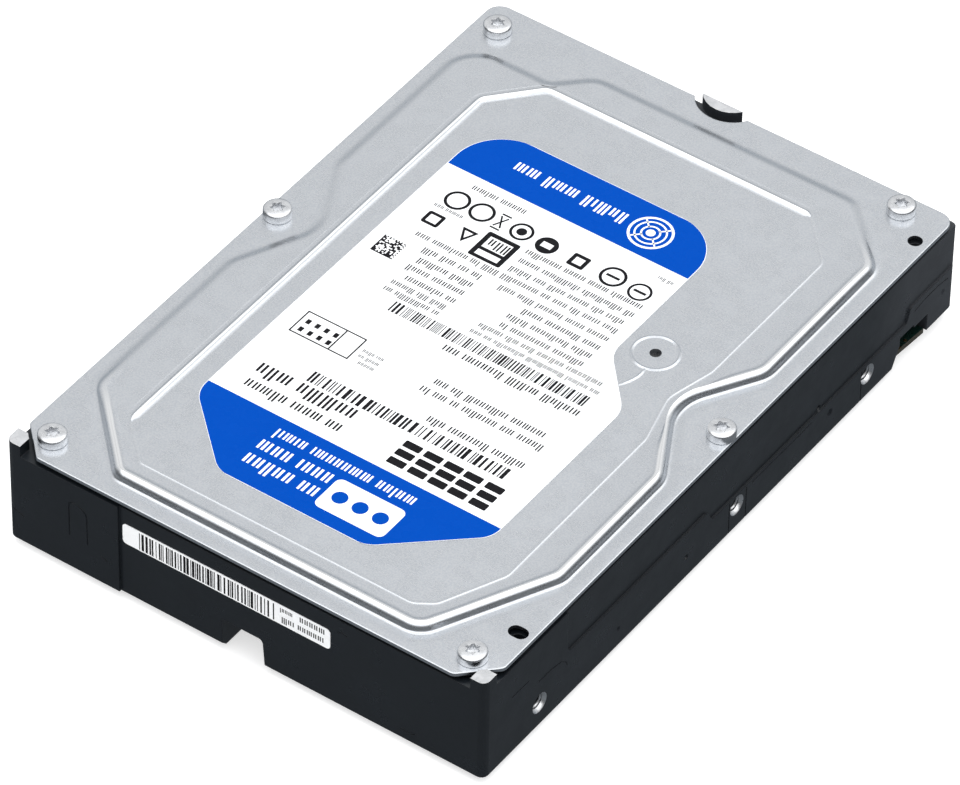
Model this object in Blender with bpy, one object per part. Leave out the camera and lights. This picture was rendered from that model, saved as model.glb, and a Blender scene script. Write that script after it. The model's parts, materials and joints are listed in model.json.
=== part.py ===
"""A 3.5-inch, one-inch-high hard disk drive, built as the pieces it comes apart into.

Lengths are in millimetres and the mesh helpers scale them to metres. The origin is at the middle of
the underside. +X runs across the drive, +Y towards the connector end, +Z up through the cover.
"""

from math import acos, atan2, cos, degrees, pi, radians, remainder, sin, tan, tau

import bmesh
import bpy
from mathutils import Matrix, Vector
from mathutils.geometry import tessellate_polygon

MM = 0.001
GAP = 0.3

# The body, to the 3.5-inch form factor.
HALF_WIDTH = 50.8
HALF_LENGTH = 73.5
CORNER_RADIUS = 1.4
RECESSED_FRONT = 0.5
BLOCK_EDGE = -26.5
BOTTOM_CHAMFER = 1.2
RIM_TOP = 21.5
LUG_TOP = 24.0
FLOOR_TOP = 8.5
SHARED_WALL_TOP = 9.0

# Threaded holes that the standard fixes: three along each side, two along each lower rail.
SIDE_HOLE_Z = 6.35
SIDE_HOLE_Y = (-56.6, 3.4, 45.0)
BOTTOM_HOLE_X = 47.62
BOTTOM_HOLE_Y = (-12.23, 32.22)
THREAD_RADIUS = 1.45
THREAD_DEPTH = 4.5

# The cover and what lies on it.
COVER_BOTTOM = 22.5
COVER_TOP = 23.2
COVER_RISE = 1.0
PLATEAU_TOP = COVER_TOP + COVER_RISE
COVER_SIDE = 50.6
COVER_REAR = 72.9
COVER_FRONT = -73.3
LABEL_THICKNESS = 0.15
SCREW_HEAD_RADIUS = 2.8
SCREW_HEAD_TOP = 25.4
COVER_SCREWS = {
    "front_left": (-44.7, -68.1),
    "front_right": (44.7, -68.1),
    "middle_left": (-48.0, 1.7),
    "middle_right": (48.0, 1.7),
    "rear_left": (-45.6, 66.3),
    "rear_right": (41.4, 68.8),
}
BREATHER = (27.6, 11.1)
ROUND_PIN_HOLE = (47.8, 63.6)
OBLONG_PIN_HOLE = (47.5, -58.7)

# The disk stack, which turns about the spindle.
SPINDLE = (0.0, -22.5)
CHAMBER_RADIUS = 48.5
PLATTER_RADIUS = 47.5
PLATTER_BORE = 12.6
PLATTER_BOTTOM = 13.4
PLATTER_TOP = 14.67
HUB_FLANGE_RADIUS = 15.6
HUB_TOP = 15.6
SHAFT_RADIUS = 2.0
RUNNING_GAP = 0.1

# The actuator, which turns about its own pivot.
PIVOT = (20.0, 31.9)
PARKED_ANGLE = 196.0
ARM_REACH = 36.0
HEAD_REACH = 50.5
TAB_REACH = 55.5
PIVOT_BOSS_RADIUS = 8.0
COIL_INNER = 12.0
COIL_OUTER = 24.5
COIL_HALF_ANGLE = 17.0

# The circuit board in its pocket under the floor.
BOARD_BOTTOM = 1.7
BOARD_TOP = 2.9
POCKET_TOP = 6.5
POCKET_SIDE = 45.3
BOARD_SCREWS = {
    "front_left": (-41.5, 3.0),
    "front_right": (41.5, 3.0),
    "rear_left": (-41.5, 62.0),
    "rear_right": (38.0, 50.0),
    "middle": (-8.0, 36.0),
}
CONNECTOR_X = 20.68


def clear_scene():
    for existing in list(bpy.data.objects):
        bpy.data.objects.remove(existing, do_unlink=True)


def principled(name, colour, roughness, metallic):
    material = bpy.data.materials.new(name)
    material.use_nodes = True
    shader = material.node_tree.nodes["Principled BSDF"]
    shader.inputs["Base Color"].default_value = (*colour, 1.0)
    shader.inputs["Roughness"].default_value = roughness
    shader.inputs["Metallic"].default_value = metallic
    return material


# Outlines: lists of (x, y) points, anticlockwise where it matters.


def arc(centre, radius, start, end, steps):
    """Points from start to end degrees, both ends included."""
    angles = [radians(start + (end - start) * i / steps) for i in range(steps + 1)]
    return [(centre[0] + radius * cos(a), centre[1] + radius * sin(a)) for a in angles]


def circle(centre, radius, steps):
    return arc(centre, radius, 0, 360, steps)[:-1]


def filleted(corners, steps=4):
    """A closed outline from (x, y, radius) corners, each rounded by an arc tangent to its two sides."""
    outline = []
    for i, (x, y, radius) in enumerate(corners):
        if radius == 0:
            outline.append((x, y))
            continue
        corner = Vector((x, y))
        before = (Vector(corners[i - 1][:2]) - corner).normalized()
        after = (Vector(corners[(i + 1) % len(corners)][:2]) - corner).normalized()
        half = before.angle(after) / 2
        centre = corner + (before + after).normalized() * radius / sin(half)
        first = corner + before * radius / tan(half) - centre
        last = corner + after * radius / tan(half) - centre
        start = atan2(first.y, first.x)
        sweep = remainder(atan2(last.y, last.x) - start, tau)
        turns = [start + sweep * k / steps for k in range(steps + 1)]
        outline += [(centre.x + radius * cos(a), centre.y + radius * sin(a)) for a in turns]
    return outline


def rectangle(x0, x1, y0, y1, radius=0, steps=4):
    return filleted([(x0, y0, radius), (x1, y0, radius), (x1, y1, radius), (x0, y1, radius)], steps)


def offset(outline, distance):
    """An anticlockwise outline moved outwards, with mitred corners."""
    moved = []
    for before, here, after in zip(outline[-1:] + outline[:-1], outline, outline[1:] + outline[:1]):
        point = Vector(here)
        arriving = (point - Vector(before)).normalized()
        leaving = (Vector(after) - point).normalized()
        normal = Vector((arriving.y + leaving.y, -arriving.x - leaving.x)).normalized()
        share = normal.dot(Vector((arriving.y, -arriving.x)))
        moved.append(tuple(point + normal * distance / share))
    return moved


def polar(angle, radius):
    """A point given from the actuator's pivot, in degrees and millimetres."""
    return (
        PIVOT[0] + radius * cos(radians(angle)),
        PIVOT[1] + radius * sin(radians(angle)),
    )


def sector(inner, outer, start, end, steps):
    """A ring sector about the actuator's pivot."""
    return arc(PIVOT, outer, start, end, steps) + arc(PIVOT, inner, end, start, steps)


# Solids: bmesh bodies in millimetres.


def loft(sections, holes=()):
    """A closed body through outlines of equal point counts, given as (outline, height). Holes run
    straight through a body of two sections."""
    body = bmesh.new()
    rings = []
    for outline, height in sections:
        loops = [outline, *holes]
        rings.append([body.verts.new((x, y, height)) for loop in loops for x, y in loop])
    starts = [0]
    for loop in (sections[0][0], *holes):
        starts.append(starts[-1] + len(loop))
    for ring, (outline, _) in ((rings[0], sections[0]), (rings[-1], sections[-1])):
        flat = [[(x, y, 0.0) for x, y in loop] for loop in (outline, *holes)]
        for a, b, c in tessellate_polygon(flat):
            body.faces.new((ring[a], ring[b], ring[c]))
    for low, high in zip(rings, rings[1:]):
        for first, end in zip(starts, starts[1:]):
            for a in range(first, end):
                b = a + 1 if a + 1 < end else first
                body.faces.new((low[a], low[b], high[b], high[a]))
    bmesh.ops.recalc_face_normals(body, faces=body.faces)
    return body


def slab(outline, z0, z1, holes=()):
    return loft([(outline, z0), (outline, z1)], holes)


def block(x0, x1, y0, y1, z0, z1, radius=0):
    return slab(rectangle(x0, x1, y0, y1, radius), z0, z1)


def along_x(body):
    """Turns a body made in (y, z, x) order to stand in (x, y, z)."""
    bmesh.ops.transform(body, matrix=Matrix(((0, 0, 1), (1, 0, 0), (0, 1, 0))).to_4x4(), verts=body.verts)
    return body


def along_y(body):
    """Turns a body made in (x, z, -y) order to stand in (x, y, z)."""
    bmesh.ops.transform(body, matrix=Matrix(((1, 0, 0), (0, 0, -1), (0, 1, 0))).to_4x4(), verts=body.verts)
    return body


def turned(profile, steps, centre=(0.0, 0.0)):
    """A body of revolution about a vertical axis. A profile of (radius, height) points that starts on
    the axis also ends on it; any other closes on itself."""
    body = bmesh.new()
    points = [body.verts.new((centre[0] + radius, centre[1], height)) for radius, height in profile]
    edges = [body.edges.new(pair) for pair in zip(points, points[1:])]
    if profile[0][0] > 0:
        edges.append(body.edges.new((points[-1], points[0])))
    bmesh.ops.spin(
        body,
        geom=points + edges,
        cent=(*centre, 0.0),
        axis=(0.0, 0.0, 1.0),
        angle=2 * pi,
        steps=steps,
        use_merge=True,
    )
    bmesh.ops.remove_doubles(body, verts=body.verts, dist=1e-4)
    bmesh.ops.recalc_face_normals(body, faces=body.faces)
    return body


def rod(centre, radius, z0, z1, steps=16):
    return turned([(0, z0), (radius, z0), (radius, z1), (0, z1)], steps, centre)


def ring(centre, inner, outer, z0, z1, steps=32):
    return turned([(inner, z0), (outer, z0), (outer, z1), (inner, z1)], steps, centre)


# Objects.


def piece(name, body, material, pivot=(0.0, 0.0)):
    """A named object from a body in millimetres, with its origin on the given vertical axis."""
    corner = Vector((*pivot, 0.0))
    bmesh.ops.translate(body, vec=-corner, verts=body.verts)
    bmesh.ops.scale(body, vec=(MM, MM, MM), verts=body.verts)
    mesh = bpy.data.meshes.new(name)
    body.to_mesh(mesh)
    body.free()
    mesh.shade_smooth()
    mesh.set_sharp_from_angle(angle=radians(35))
    if material:
        mesh.materials.append(material)
    made = bpy.data.objects.new(name, mesh)
    made.location = corner * MM
    bpy.context.scene.collection.objects.link(made)
    return made


def combine(target, name, body, operation):
    """Adds a Boolean to the target. The helper stays out of the finished model."""
    helper = piece(name, body, None)
    helper.hide_render = True
    helper.display_type = "WIRE"
    boolean = target.modifiers.new(name, "BOOLEAN")
    boolean.object = helper
    boolean.operation = operation
    boolean.solver = "EXACT"


def cut(target, name, body):
    combine(target, f"cut_{name}", body, "DIFFERENCE")


def join(target, name, body):
    combine(target, f"join_{name}", body, "UNION")


# Shapes that more than one piece follows.


def chamber_outline():
    """The inside of the casting: the disk well at the front and the actuator's room behind it."""
    neck = 42.5
    neck_y = SPINDLE[1] + (CHAMBER_RADIUS**2 - neck**2) ** 0.5
    side = degrees(acos(neck / CHAMBER_RADIUS))
    well = arc(SPINDLE, CHAMBER_RADIUS, 180 - side, 360 + side, 44)
    room = filleted(
        [
            (neck, neck_y + 1.0, 0),
            (neck, 7.0, 1),
            (46.0, 12.0, 1),
            (46.0, 52.0, 2),
            (33.5, 64.5, 2),
            (-23.5, 64.5, 2),
            (-29.5, 58.5, 2),
            (-45.5, 58.5, 5),
            (-45.5, 12.0, 1),
            (-neck, 7.0, 1),
            (-neck, neck_y + 1.0, 0),
        ],
        steps=2,
    )
    return well + room


def plateau_outline(steps=4):
    """The raised middle of the cover, stepped in round the screws halfway along each side."""
    return filleted(
        [
            (-30.4, -69.4, 4.0),
            (35.0, -69.4, 5.0),
            (46.8, -43.6, 6.0),
            (46.7, -13.9, 7.0),
            (37.4, 3.0, 9.5),
            (46.6, 18.4, 7.0),
            (46.5, 53.0, 5.0),
            (33.4, 65.2, 4.0),
            (-22.5, 65.2, 5.0),
            (-29.0, 58.9, 4.0),
            (-46.9, 58.9, 6.5),
            (-46.9, 18.8, 7.0),
            (-38.1, 2.4, 9.5),
            (-46.9, -13.4, 7.0),
            (-46.9, -52.9, 5.0),
        ],
        steps,
    )


def cover_outline():
    notch = arc((-0.4, 76.6), 6.9, 212.4, 327.6, 8)
    front = [
        (5.42, COVER_REAR, 0),
        (COVER_SIDE, COVER_REAR, 3.0),
        (COVER_SIDE, -67.0, 1.8),
        (44.3, COVER_FRONT, 1.8),
        (-44.3, COVER_FRONT, 1.0),
        (-COVER_SIDE, -67.0, 1.0),
        (-COVER_SIDE, COVER_REAR, 3.0),
        (-6.22, COVER_REAR, 0),
    ]
    return list(reversed(filleted(front)[1:-1] + notch))


def label_outline():
    """The paper label: square in the middle, rounded at one end, tapered at the other, and cut away
    on one side to clear the breather."""
    return filleted(
        [
            (-31.4, -44.3, 6.0),
            (-16.5, -58.1, 6.0),
            (15.0, -58.1, 6.0),
            (31.4, -43.5, 5.0),
            (31.4, -4.5, 6.0),
            (21.5, 6.5, 6.0),
            (21.5, 43.0, 10.0),
            (-31.0, 43.0, 10.0),
        ],
        steps=6,
    )


# The casting, its cover and what is fixed to the outside.


def body_outline(inset=0.0):
    side = HALF_WIDTH - inset
    rear = HALF_LENGTH - inset
    front = -HALF_LENGTH + inset
    radius = CORNER_RADIUS - inset
    edge = BLOCK_EDGE - inset
    return filleted(
        [
            (-side, front, radius),
            (edge, front, 0),
            (edge, front + RECESSED_FRONT, 0),
            (side, front + RECESSED_FRONT, radius),
            (side, rear, radius),
            (-side, rear, radius),
        ]
    )


def rim_cutter_outline():
    """Everything above the rim but the two corner posts and the lug at the connector end."""
    lug = arc((-0.5, 76.6), 5.4, 214, 326, 8)
    return [
        (-52, -69.9),
        (-48.7, -69.9),
        (-47.7, -70.9),
        (-47.7, -75),
        (47.7, -75),
        (47.7, -70.7),
        (48.8, -69.6),
        (52, -69.6),
        (52, 75),
        (lug[-1][0], 75),
        *reversed(lug),
        (lug[0][0], 75),
        (-52, 75),
    ]


def threaded_hole(depth, mouth):
    """A blind hole whose countersink has the mouth's radius at height 0, for cutting downwards."""
    chamfer = 0.6
    beyond = 2 * mouth - THREAD_RADIUS
    return turned(
        [(0, -depth), (THREAD_RADIUS, -depth), (THREAD_RADIUS, -chamfer), (beyond, chamfer), (0, chamfer)],
        16,
    )


def placed(body, turn_degrees, axis, place):
    bmesh.ops.transform(
        body,
        matrix=Matrix.Translation(place) @ Matrix.Rotation(radians(turn_degrees), 4, axis),
        verts=body.verts,
    )
    return body


def cut_threads(casting):
    for side, turn in ((1, 90), (-1, -90)):
        for number, y in enumerate(SIDE_HOLE_Y, 1):
            place = (side * HALF_WIDTH, y, SIDE_HOLE_Z)
            hole = placed(threaded_hole(THREAD_DEPTH, 2.1), turn, "Y", place)
            cut(casting, f"side_hole_{side}_{number}", hole)
        for number, y in enumerate(BOTTOM_HOLE_Y, 1):
            place = (side * BOTTOM_HOLE_X, y, 0)
            cut(casting, f"bottom_hole_{side}_{number}", placed(threaded_hole(5.0, 1.75), 180, "X", place))


def cut_underside(casting):
    """The shallow room round the motor, the deeper one for the board, and the way out at the rear."""
    motor_boss = 19.0
    cut(
        casting,
        "front_room",
        slab(rectangle(-45.5, 45.5, -67.0, 2.0, 4), -1, 4.6, [circle(SPINDLE, motor_boss, 32)]),
    )
    cut(casting, "motor_boss_face", rod(SPINDLE, motor_boss + 0.2, -1, 2.5, 32))
    cut(casting, "board_room", block(-POCKET_SIDE, POCKET_SIDE, -3.0, 66.0, -1, POCKET_TOP, 3))
    cut(casting, "connector_room", block(-18.0, 43.4, 65.3, 75.0, -1, 8.2))
    cut(casting, "head_connector_slot", block(-10.0, 2.0, 48.0, 52.0, 5, 9))
    ribs = ((200, 49.5), (235, 55.5), (270, 46.5), (305, 55.5), (340, 49.5))
    for angle, reach in ribs:
        rib = block(18.0, reach, -0.8, 0.8, 2.2, 5.0)
        join(casting, f"rib_{angle}", placed(rib, angle, "Z", (*SPINDLE, 0)))
    for name, (x, y) in BOARD_SCREWS.items():
        join(casting, f"board_boss_{name}", rod((x, y), 3.0, BOARD_TOP + GAP, 7.0, 12))
        cut(casting, f"board_hole_{name}", rod((x, y), 1.25, 2, 7.6, 12))


def cut_outside(casting):
    notch = [(-4.6, -1, 0), (4.7, -1, 0), (4.1, 7.0, 0.9), (-4.6, 7.0, 0.4)]
    cut(casting, "front_notch", along_y(slab(filleted(notch), 66.5, 75)))
    window = [
        (53.4, -1),
        (64.7, -1),
        (64.7, 6.3),
        (60.2, 6.3),
        (60.2, 7.0),
        (55.6, 7.0),
        (55.6, 5.2),
        (53.4, 1.2),
    ]
    cut(casting, "side_window", along_x(slab(window, 44, 52)))
    cut(casting, "rear_foot", block(43.3, 52, 63.5, 75, -1, 2.3))
    upper_wall = [
        (-48.5, 22, 0),
        (-48.5, 11.8, 1.5),
        (-6.0, 11.8, 0.8),
        (-4.5, SHARED_WALL_TOP, 0.8),
        (57.5, SHARED_WALL_TOP, 0.5),
        (58.8, 12.2, 0.8),
        (75.0, 12.2, 0),
        (75.0, 22, 0),
    ]
    cut(casting, "upper_wall_right", along_x(slab(filleted(upper_wall), HALF_WIDTH - 0.4, 52)))
    cut(casting, "upper_wall_left", along_x(slab(filleted(upper_wall), -52, 0.4 - HALF_WIDTH)))


def build_casting(material):
    outline = body_outline()
    body = loft([(body_outline(BOTTOM_CHAMFER), 0), (outline, BOTTOM_CHAMFER), (outline, LUG_TOP)])
    casting = piece("base_casting", body, material)
    cut(casting, "rim", slab(rim_cutter_outline(), RIM_TOP, 26))
    cut(casting, "chamber", slab(chamber_outline(), FLOOR_TOP, 26))
    cut_underside(casting)
    cut(casting, "motor_well", rod(SPINDLE, 17.0, 6.0, 10, 32))
    cut(casting, "motor_hole", rod(SPINDLE, 12.4, 0, 7, 32))
    cut_outside(casting)
    cut_threads(casting)
    for name, place in COVER_SCREWS.items():
        cut(casting, f"screw_hole_{name}", rod(place, 1.2, 13.0, 26, 12))
    cut(casting, "round_pin_hole", rod(ROUND_PIN_HOLE, 1.3, 15.0, 26, 12))
    cut(casting, "oblong_pin_hole", rod(OBLONG_PIN_HOLE, 1.3, 15.0, 26, 12))


def build_cover(material, screw_steel):
    openings = [circle(place, 1.5, 12) for place in COVER_SCREWS.values()]
    openings.append(circle(ROUND_PIN_HOLE, 1.4, 16))
    x, y = OBLONG_PIN_HOLE
    openings.append(rectangle(x - 1.4, x + 1.4, y - 1.9, y + 1.9, 1.2))
    cover = piece("top_cover", slab(cover_outline(), COVER_BOTTOM, COVER_TOP, openings), material)
    foot = offset(plateau_outline(), 0.6)
    plateau = loft([(foot, COVER_TOP - 0.3), (foot, COVER_TOP), (plateau_outline(), PLATEAU_TOP)])
    join(cover, "plateau", plateau)
    cut(cover, "hollow", slab(offset(plateau_outline(), -1.0), 20, PLATEAU_TOP - 0.7))
    cut(cover, "breather_hole", rod(BREATHER, 1.1, 20, 26, 16))
    recess = 0.5
    for name, place in COVER_SCREWS.items():
        head = [
            (0, COVER_TOP + GAP),
            (SCREW_HEAD_RADIUS, COVER_TOP + GAP),
            (SCREW_HEAD_RADIUS, SCREW_HEAD_TOP - 0.9),
            (1.9, SCREW_HEAD_TOP),
            (0.9, SCREW_HEAD_TOP),
            (0.9, SCREW_HEAD_TOP - recess),
            (0, SCREW_HEAD_TOP - recess),
        ]
        screw = [(0, 14.0), (1.05, 14.0), (1.05, COVER_TOP + GAP)] + head[1:]
        piece(f"cover_screw_{name}", turned(screw, 16, place), screw_steel)


def build_outer_papers(paper, foam):
    resting = PLATEAU_TOP + 0.1
    piece("drive_label", slab(label_outline(), resting, resting + LABEL_THICKNESS), paper)
    front = HALF_LENGTH - RECESSED_FRONT
    sticker = rectangle(-25.8, 18.6, 13.4, 18.0, 0.8)
    piece("barcode_sticker", along_y(slab(sticker, front + 0.1, front + 0.1 + LABEL_THICKNESS)), paper)
    gasket = chamber_outline()
    seal = slab(offset(gasket, 1.4), RIM_TOP + 0.2, COVER_BOTTOM - 0.2, [offset(gasket, 0.4)])
    piece("cover_gasket", seal, foam)
    piece("breather_filter", rod(BREATHER, 5.5, 19.5, PLATEAU_TOP - 0.7 - GAP, 24), foam)


# The disk stack and its motor.


def build_motor(aluminium, steel, copper, magnet):
    piece("motor_base", ring(SPINDLE, 4.3, 12.1, 2.7, 4.7), aluminium)
    sleeve = SHAFT_RADIUS + RUNNING_GAP
    piece("bearing_sleeve", ring(SPINDLE, sleeve, 4.0, 3.0, 12.2, 24), steel)
    teeth = 9
    star = []
    for tooth in range(teeth):
        middle = 360 * tooth / teeth
        star += arc(SPINDLE, 9.7, middle - 12, middle + 12, 2)
        star += arc(SPINDLE, 6.4, middle + 16, middle + 24, 1)
    piece("motor_stator", slab(star, 5.2, 9.6, [circle(SPINDLE, 4.4, 24)]), copper)
    hub = [
        (0, 3.4),
        (SHAFT_RADIUS, 3.4),
        (SHAFT_RADIUS, 12.6),
        (4.4, 12.6),
        (4.4, 10.4),
        (11.5, 10.4),
        (11.5, 6.3),
        (12.0, 6.3),
        (12.0, 11.3),
        (HUB_FLANGE_RADIUS, 11.3),
        (HUB_FLANGE_RADIUS, PLATTER_BOTTOM - GAP),
        (PLATTER_BORE - 0.4, PLATTER_BOTTOM - GAP),
        (PLATTER_BORE - 0.4, HUB_TOP),
        (1.3, HUB_TOP),
        (1.3, 12.9),
        (0, 12.9),
    ]
    piece("spindle_hub", turned(hub, 32, SPINDLE), aluminium, SPINDLE)
    band = turned([(10.2, 6.5), (11.2, 6.5), (11.2, 10.1), (10.2, 10.1)], 32, SPINDLE)
    piece("rotor_magnet", band, magnet, SPINDLE)


def build_disk(disk_metal, steel):
    platter = ring(SPINDLE, PLATTER_BORE, PLATTER_RADIUS, PLATTER_BOTTOM, PLATTER_TOP, 72)
    piece("platter", platter, disk_metal, SPINDLE)
    low = PLATTER_TOP + GAP
    clamp = [
        (1.6, HUB_TOP + GAP),
        (12.6, HUB_TOP + GAP),
        (13.2, low),
        (16.2, low),
        (16.2, 15.7),
        (14.4, 16.6),
        (1.6, 16.6),
    ]
    piece("disk_clamp", turned(clamp, 32, SPINDLE), steel, SPINDLE)
    screw = [(0, 13.2), (1.0, 13.2), (1.0, 16.9), (2.8, 16.9), (2.8, 17.9), (2.2, 18.4), (0, 18.4)]
    piece("clamp_screw", turned(screw, 16, SPINDLE), steel, SPINDLE)


# The actuator and its motor.


def build_arm(aluminium):
    """The arm block: a bored boss, one arm above and one below the platter, and a fork for the coil."""
    lower, upper = 11.0, 16.1
    body = ring(PIVOT, 5.3, PIVOT_BOSS_RADIUS, lower, upper + 1.0)
    arm = piece("actuator_arm", body, aluminium, PIVOT)
    blade = [(7.2, -5.2, 0), (ARM_REACH, -2.3, 0.8), (ARM_REACH, 2.3, 0.8), (7.2, 5.2, 0)]
    for name, z in (("lower", lower), ("upper", upper)):
        body = slab(filleted(blade), z + 0.02, z + 0.98)
        join(arm, f"arm_{name}", placed(body, PARKED_ANGLE, "Z", (*PIVOT, 0)))
    rest = PARKED_ANGLE - 180
    for name, side in (("left", 1), ("right", -1)):
        inner_edge = rest + side * (COIL_HALF_ANGLE + 1.0)
        outer_edge = rest + side * (COIL_HALF_ANGLE + 4.0)
        ends = ((inner_edge, 7.4), (inner_edge, 25.0), (outer_edge, 25.0), (outer_edge, 7.4))
        prong = [polar(angle, reach) for angle, reach in ends]
        join(arm, f"prong_{name}", slab(prong, 13.1, 14.9))


def build_coil(copper):
    rest = PARKED_ANGLE - 180
    outline = sector(COIL_INNER, COIL_OUTER, rest - COIL_HALF_ANGLE, rest + COIL_HALF_ANGLE, 8)
    hole = sector(COIL_INNER + 3.2, COIL_OUTER - 3.2, rest - 6.5, rest + 6.5, 4)
    piece("voice_coil", slab(outline, 13.2, 14.8, [hole]), copper, PIVOT)


def build_heads(steel, ceramic):
    """A suspension and a slider for each side of the platter, parked with their tabs on the ramp."""
    one_side = [(30.0, -2.2), (34.0, -2.2), (52.0, -0.6), (TAB_REACH, -0.5)]
    plate = one_side + [(along, -across) for along, across in reversed(one_side)]
    levels = {"lower": (12.2, 12.4, 12.6), "upper": (15.65, 15.85, 14.95)}
    for name, (z0, z1, slider_z) in levels.items():
        suspension = placed(slab(plate, z0, z1), PARKED_ANGLE, "Z", (*PIVOT, 0))
        piece(f"suspension_{name}", suspension, steel, PIVOT)
        slider = block(HEAD_REACH - 0.6, HEAD_REACH + 0.6, -0.5, 0.5, slider_z, slider_z + 0.5)
        piece(f"head_slider_{name}", placed(slider, PARKED_ANGLE, "Z", (*PIVOT, 0)), ceramic, PIVOT)


def build_pivot(steel):
    inner = 2.5
    shaft = [
        (0, FLOOR_TOP + GAP),
        (4.4, FLOOR_TOP + GAP),
        (4.4, 9.8),
        (inner - RUNNING_GAP, 9.8),
        (inner - RUNNING_GAP, 20.5),
        (0, 20.5),
    ]
    piece("pivot_shaft", turned(shaft, 20, PIVOT), steel)
    piece("pivot_bearing", ring(PIVOT, inner, 5.0, 10.1, 18.0, 24), steel, PIVOT)


def build_magnet_assembly(steel, magnet, rubber):
    """Two steel plates hold a magnet each, above and below the coil, on spacer posts."""
    wall = 45.7 - PIVOT[0]
    outer_edge = [polar(-18, 23), polar(-8, 25.2)]
    outer_edge += [polar(a, min(30.5, wall / cos(radians(a)))) for a in range(0, 61, 10)]
    plate = outer_edge + [polar(72, 29), polar(84, 27)] + arc(PIVOT, 10.4, 84, -18, 10)
    piece("magnet_plate_lower", slab(plate, FLOOR_TOP + GAP, 10.6), steel)
    piece("magnet_plate_upper", slab(plate, 17.5, 19.3), steel)
    poles = sector(COIL_INNER + 0.6, COIL_OUTER - 0.4, 8, 58, 8)
    piece("magnet_lower", slab(poles, 10.9, 12.6), magnet)
    piece("magnet_upper", slab(poles, 15.5, 17.2), magnet)
    for name, place in {"right": polar(-14.5, 23.0), "rear": polar(79, 25.0)}.items():
        piece(f"spacer_post_{name}", rod(place, 1.5, 10.9, 17.2, 12), steel)
    for name, place in {"outer": polar(-10.8, 16.0), "inner": polar(76.6, 16.0)}.items():
        piece(f"crash_stop_{name}", rod(place, 1.2, 10.9, 17.2, 12), rubber)


def build_latch(plastic, steel):
    """A small lever that swings towards the parked coil fork."""
    pin = (38.0, 17.0)
    outline = filleted(
        [
            (pin[0] - 2.0, pin[1] - 2.0, 1.5),
            (pin[0] + 2.0, pin[1] - 2.0, 1.5),
            (pin[0] + 2.0, pin[1] + 1.5, 1.0),
            (pin[0] + 0.9, pin[1] + 8.6, 0.5),
            (pin[0] - 1.6, pin[1] + 8.6, 0.5),
            (pin[0] - 2.0, pin[1] + 1.5, 1.0),
        ],
        steps=3,
    )
    lever = slab(outline, 12.8, 15.2, [circle(pin, 1.1, 20)])
    piece("actuator_latch", lever, plastic, pin)
    foot = FLOOR_TOP + GAP
    profile = [(0, foot), (2.0, foot), (2.0, 12.5), (1.0, 12.5), (1.0, 16), (0, 16)]
    piece("latch_pin", turned(profile, 16, pin), steel)


def build_ramp(plastic, steel):
    """The parking ramp: jaws that straddle the platter's edge, and a foot screwed to the floor."""
    ramp = piece("load_ramp", slab(sector(53.2, 57.4, 188, 202, 6), 12.7, 15.35), plastic)
    foot = slab(sector(57.0, 63.0, 188, 196, 4), FLOOR_TOP + GAP, 15.35)
    join(ramp, "ramp_foot", foot)
    cut(ramp, "platter_slot", rod(SPINDLE, PLATTER_RADIUS + 0.6, 13.1, 14.97, 64))
    place = polar(192, 60.2)
    cut(ramp, "ramp_screw_hole", rod(place, 1.2, 8, 17, 12))
    screw = [(0, FLOOR_TOP + GAP), (0.9, FLOOR_TOP + GAP), (0.9, 15.6), (2.1, 15.6), (2.1, 16.6), (0, 16.6)]
    piece("ramp_screw", turned(screw, 12, place), steel)


def build_flex(film, plastic):
    """The ribbon curves from the arm's boss to a bracket, whose connector goes through the floor."""
    bend = (4.6, 38.4)
    ribbon = arc(bend, 10.0, 1, 88, 10) + arc(bend, 9.85, 88, 1, 10)
    piece("flex_cable", slab(ribbon, 12.2, 15.6), film)
    bracket = piece("flex_bracket", block(-12.0, 4.6, 46.0, 54.0, FLOOR_TOP + GAP, 11.7, 1.0), plastic)
    join(bracket, "bracket_wall", block(2.4, 4.6, 47.0, 53.0, 11.0, 16.0))
    piece("head_connector", block(-9.7, 1.7, 48.3, 51.7, BOARD_TOP + GAP, FLOOR_TOP), plastic)


def build_filter(foam):
    body = block(-7.0, 7.0, -1.6, 1.6, FLOOR_TOP + GAP, 18.0, 0.6)
    piece("recirculation_filter", placed(body, 35, "Z", (-35.5, 44.0, 0)), foam)


# Under the floor.


def build_board(laminate, foam, chip, steel):
    holes = [circle(place, 1.5, 12) for place in BOARD_SCREWS.values()]
    side, front, step, rear = 44.2, -2.0, 64.7, 70.5
    side_window_tab = [(side, 54.8), (49.7, 54.8), (50.4, 64.3), (side, 64.3)]
    outline = [
        (-side, front),
        (side, front),
        *side_window_tab,
        (side, step),
        (43.0, step),
        (43.0, rear),
        (-17.5, rear),
        (-17.5, step),
        (-side, step),
    ]
    piece("circuit_board", slab(outline, BOARD_BOTTOM, BOARD_TOP, holes), laminate)
    pad_holes = [circle(BOARD_SCREWS[name], 3.6, 12) for name in ("rear_right", "middle")]
    pad_holes.append(rectangle(-11.0, 3.0, 47.0, 53.0))
    piece("insulator_pad", slab(rectangle(-43.5, 43.5, 7.5, 58.0, 2), 5.0, 6.2, pad_holes), foam)
    low = BOARD_TOP + GAP
    piece("controller_chip", block(2.0, 17.0, 17.0, 32.0, low, 4.4, 0.3), chip)
    piece("memory_chip", block(-30.0, -12.0, 12.0, 21.0, low, 4.4, 0.3), chip)
    piece("motor_driver_chip", block(20.0, 29.0, 36.0, 45.0, low, 4.2, 0.3), chip)
    for name, place in BOARD_SCREWS.items():
        head = BOARD_BOTTOM - GAP
        screw = [(0, 0.4), (1.9, 0.4), (2.4, 0.8), (2.4, head), (1.0, head), (1.0, 6.8), (0, 6.8)]
        piece(f"board_screw_{name}", turned(screw, 12, place), steel)


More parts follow.
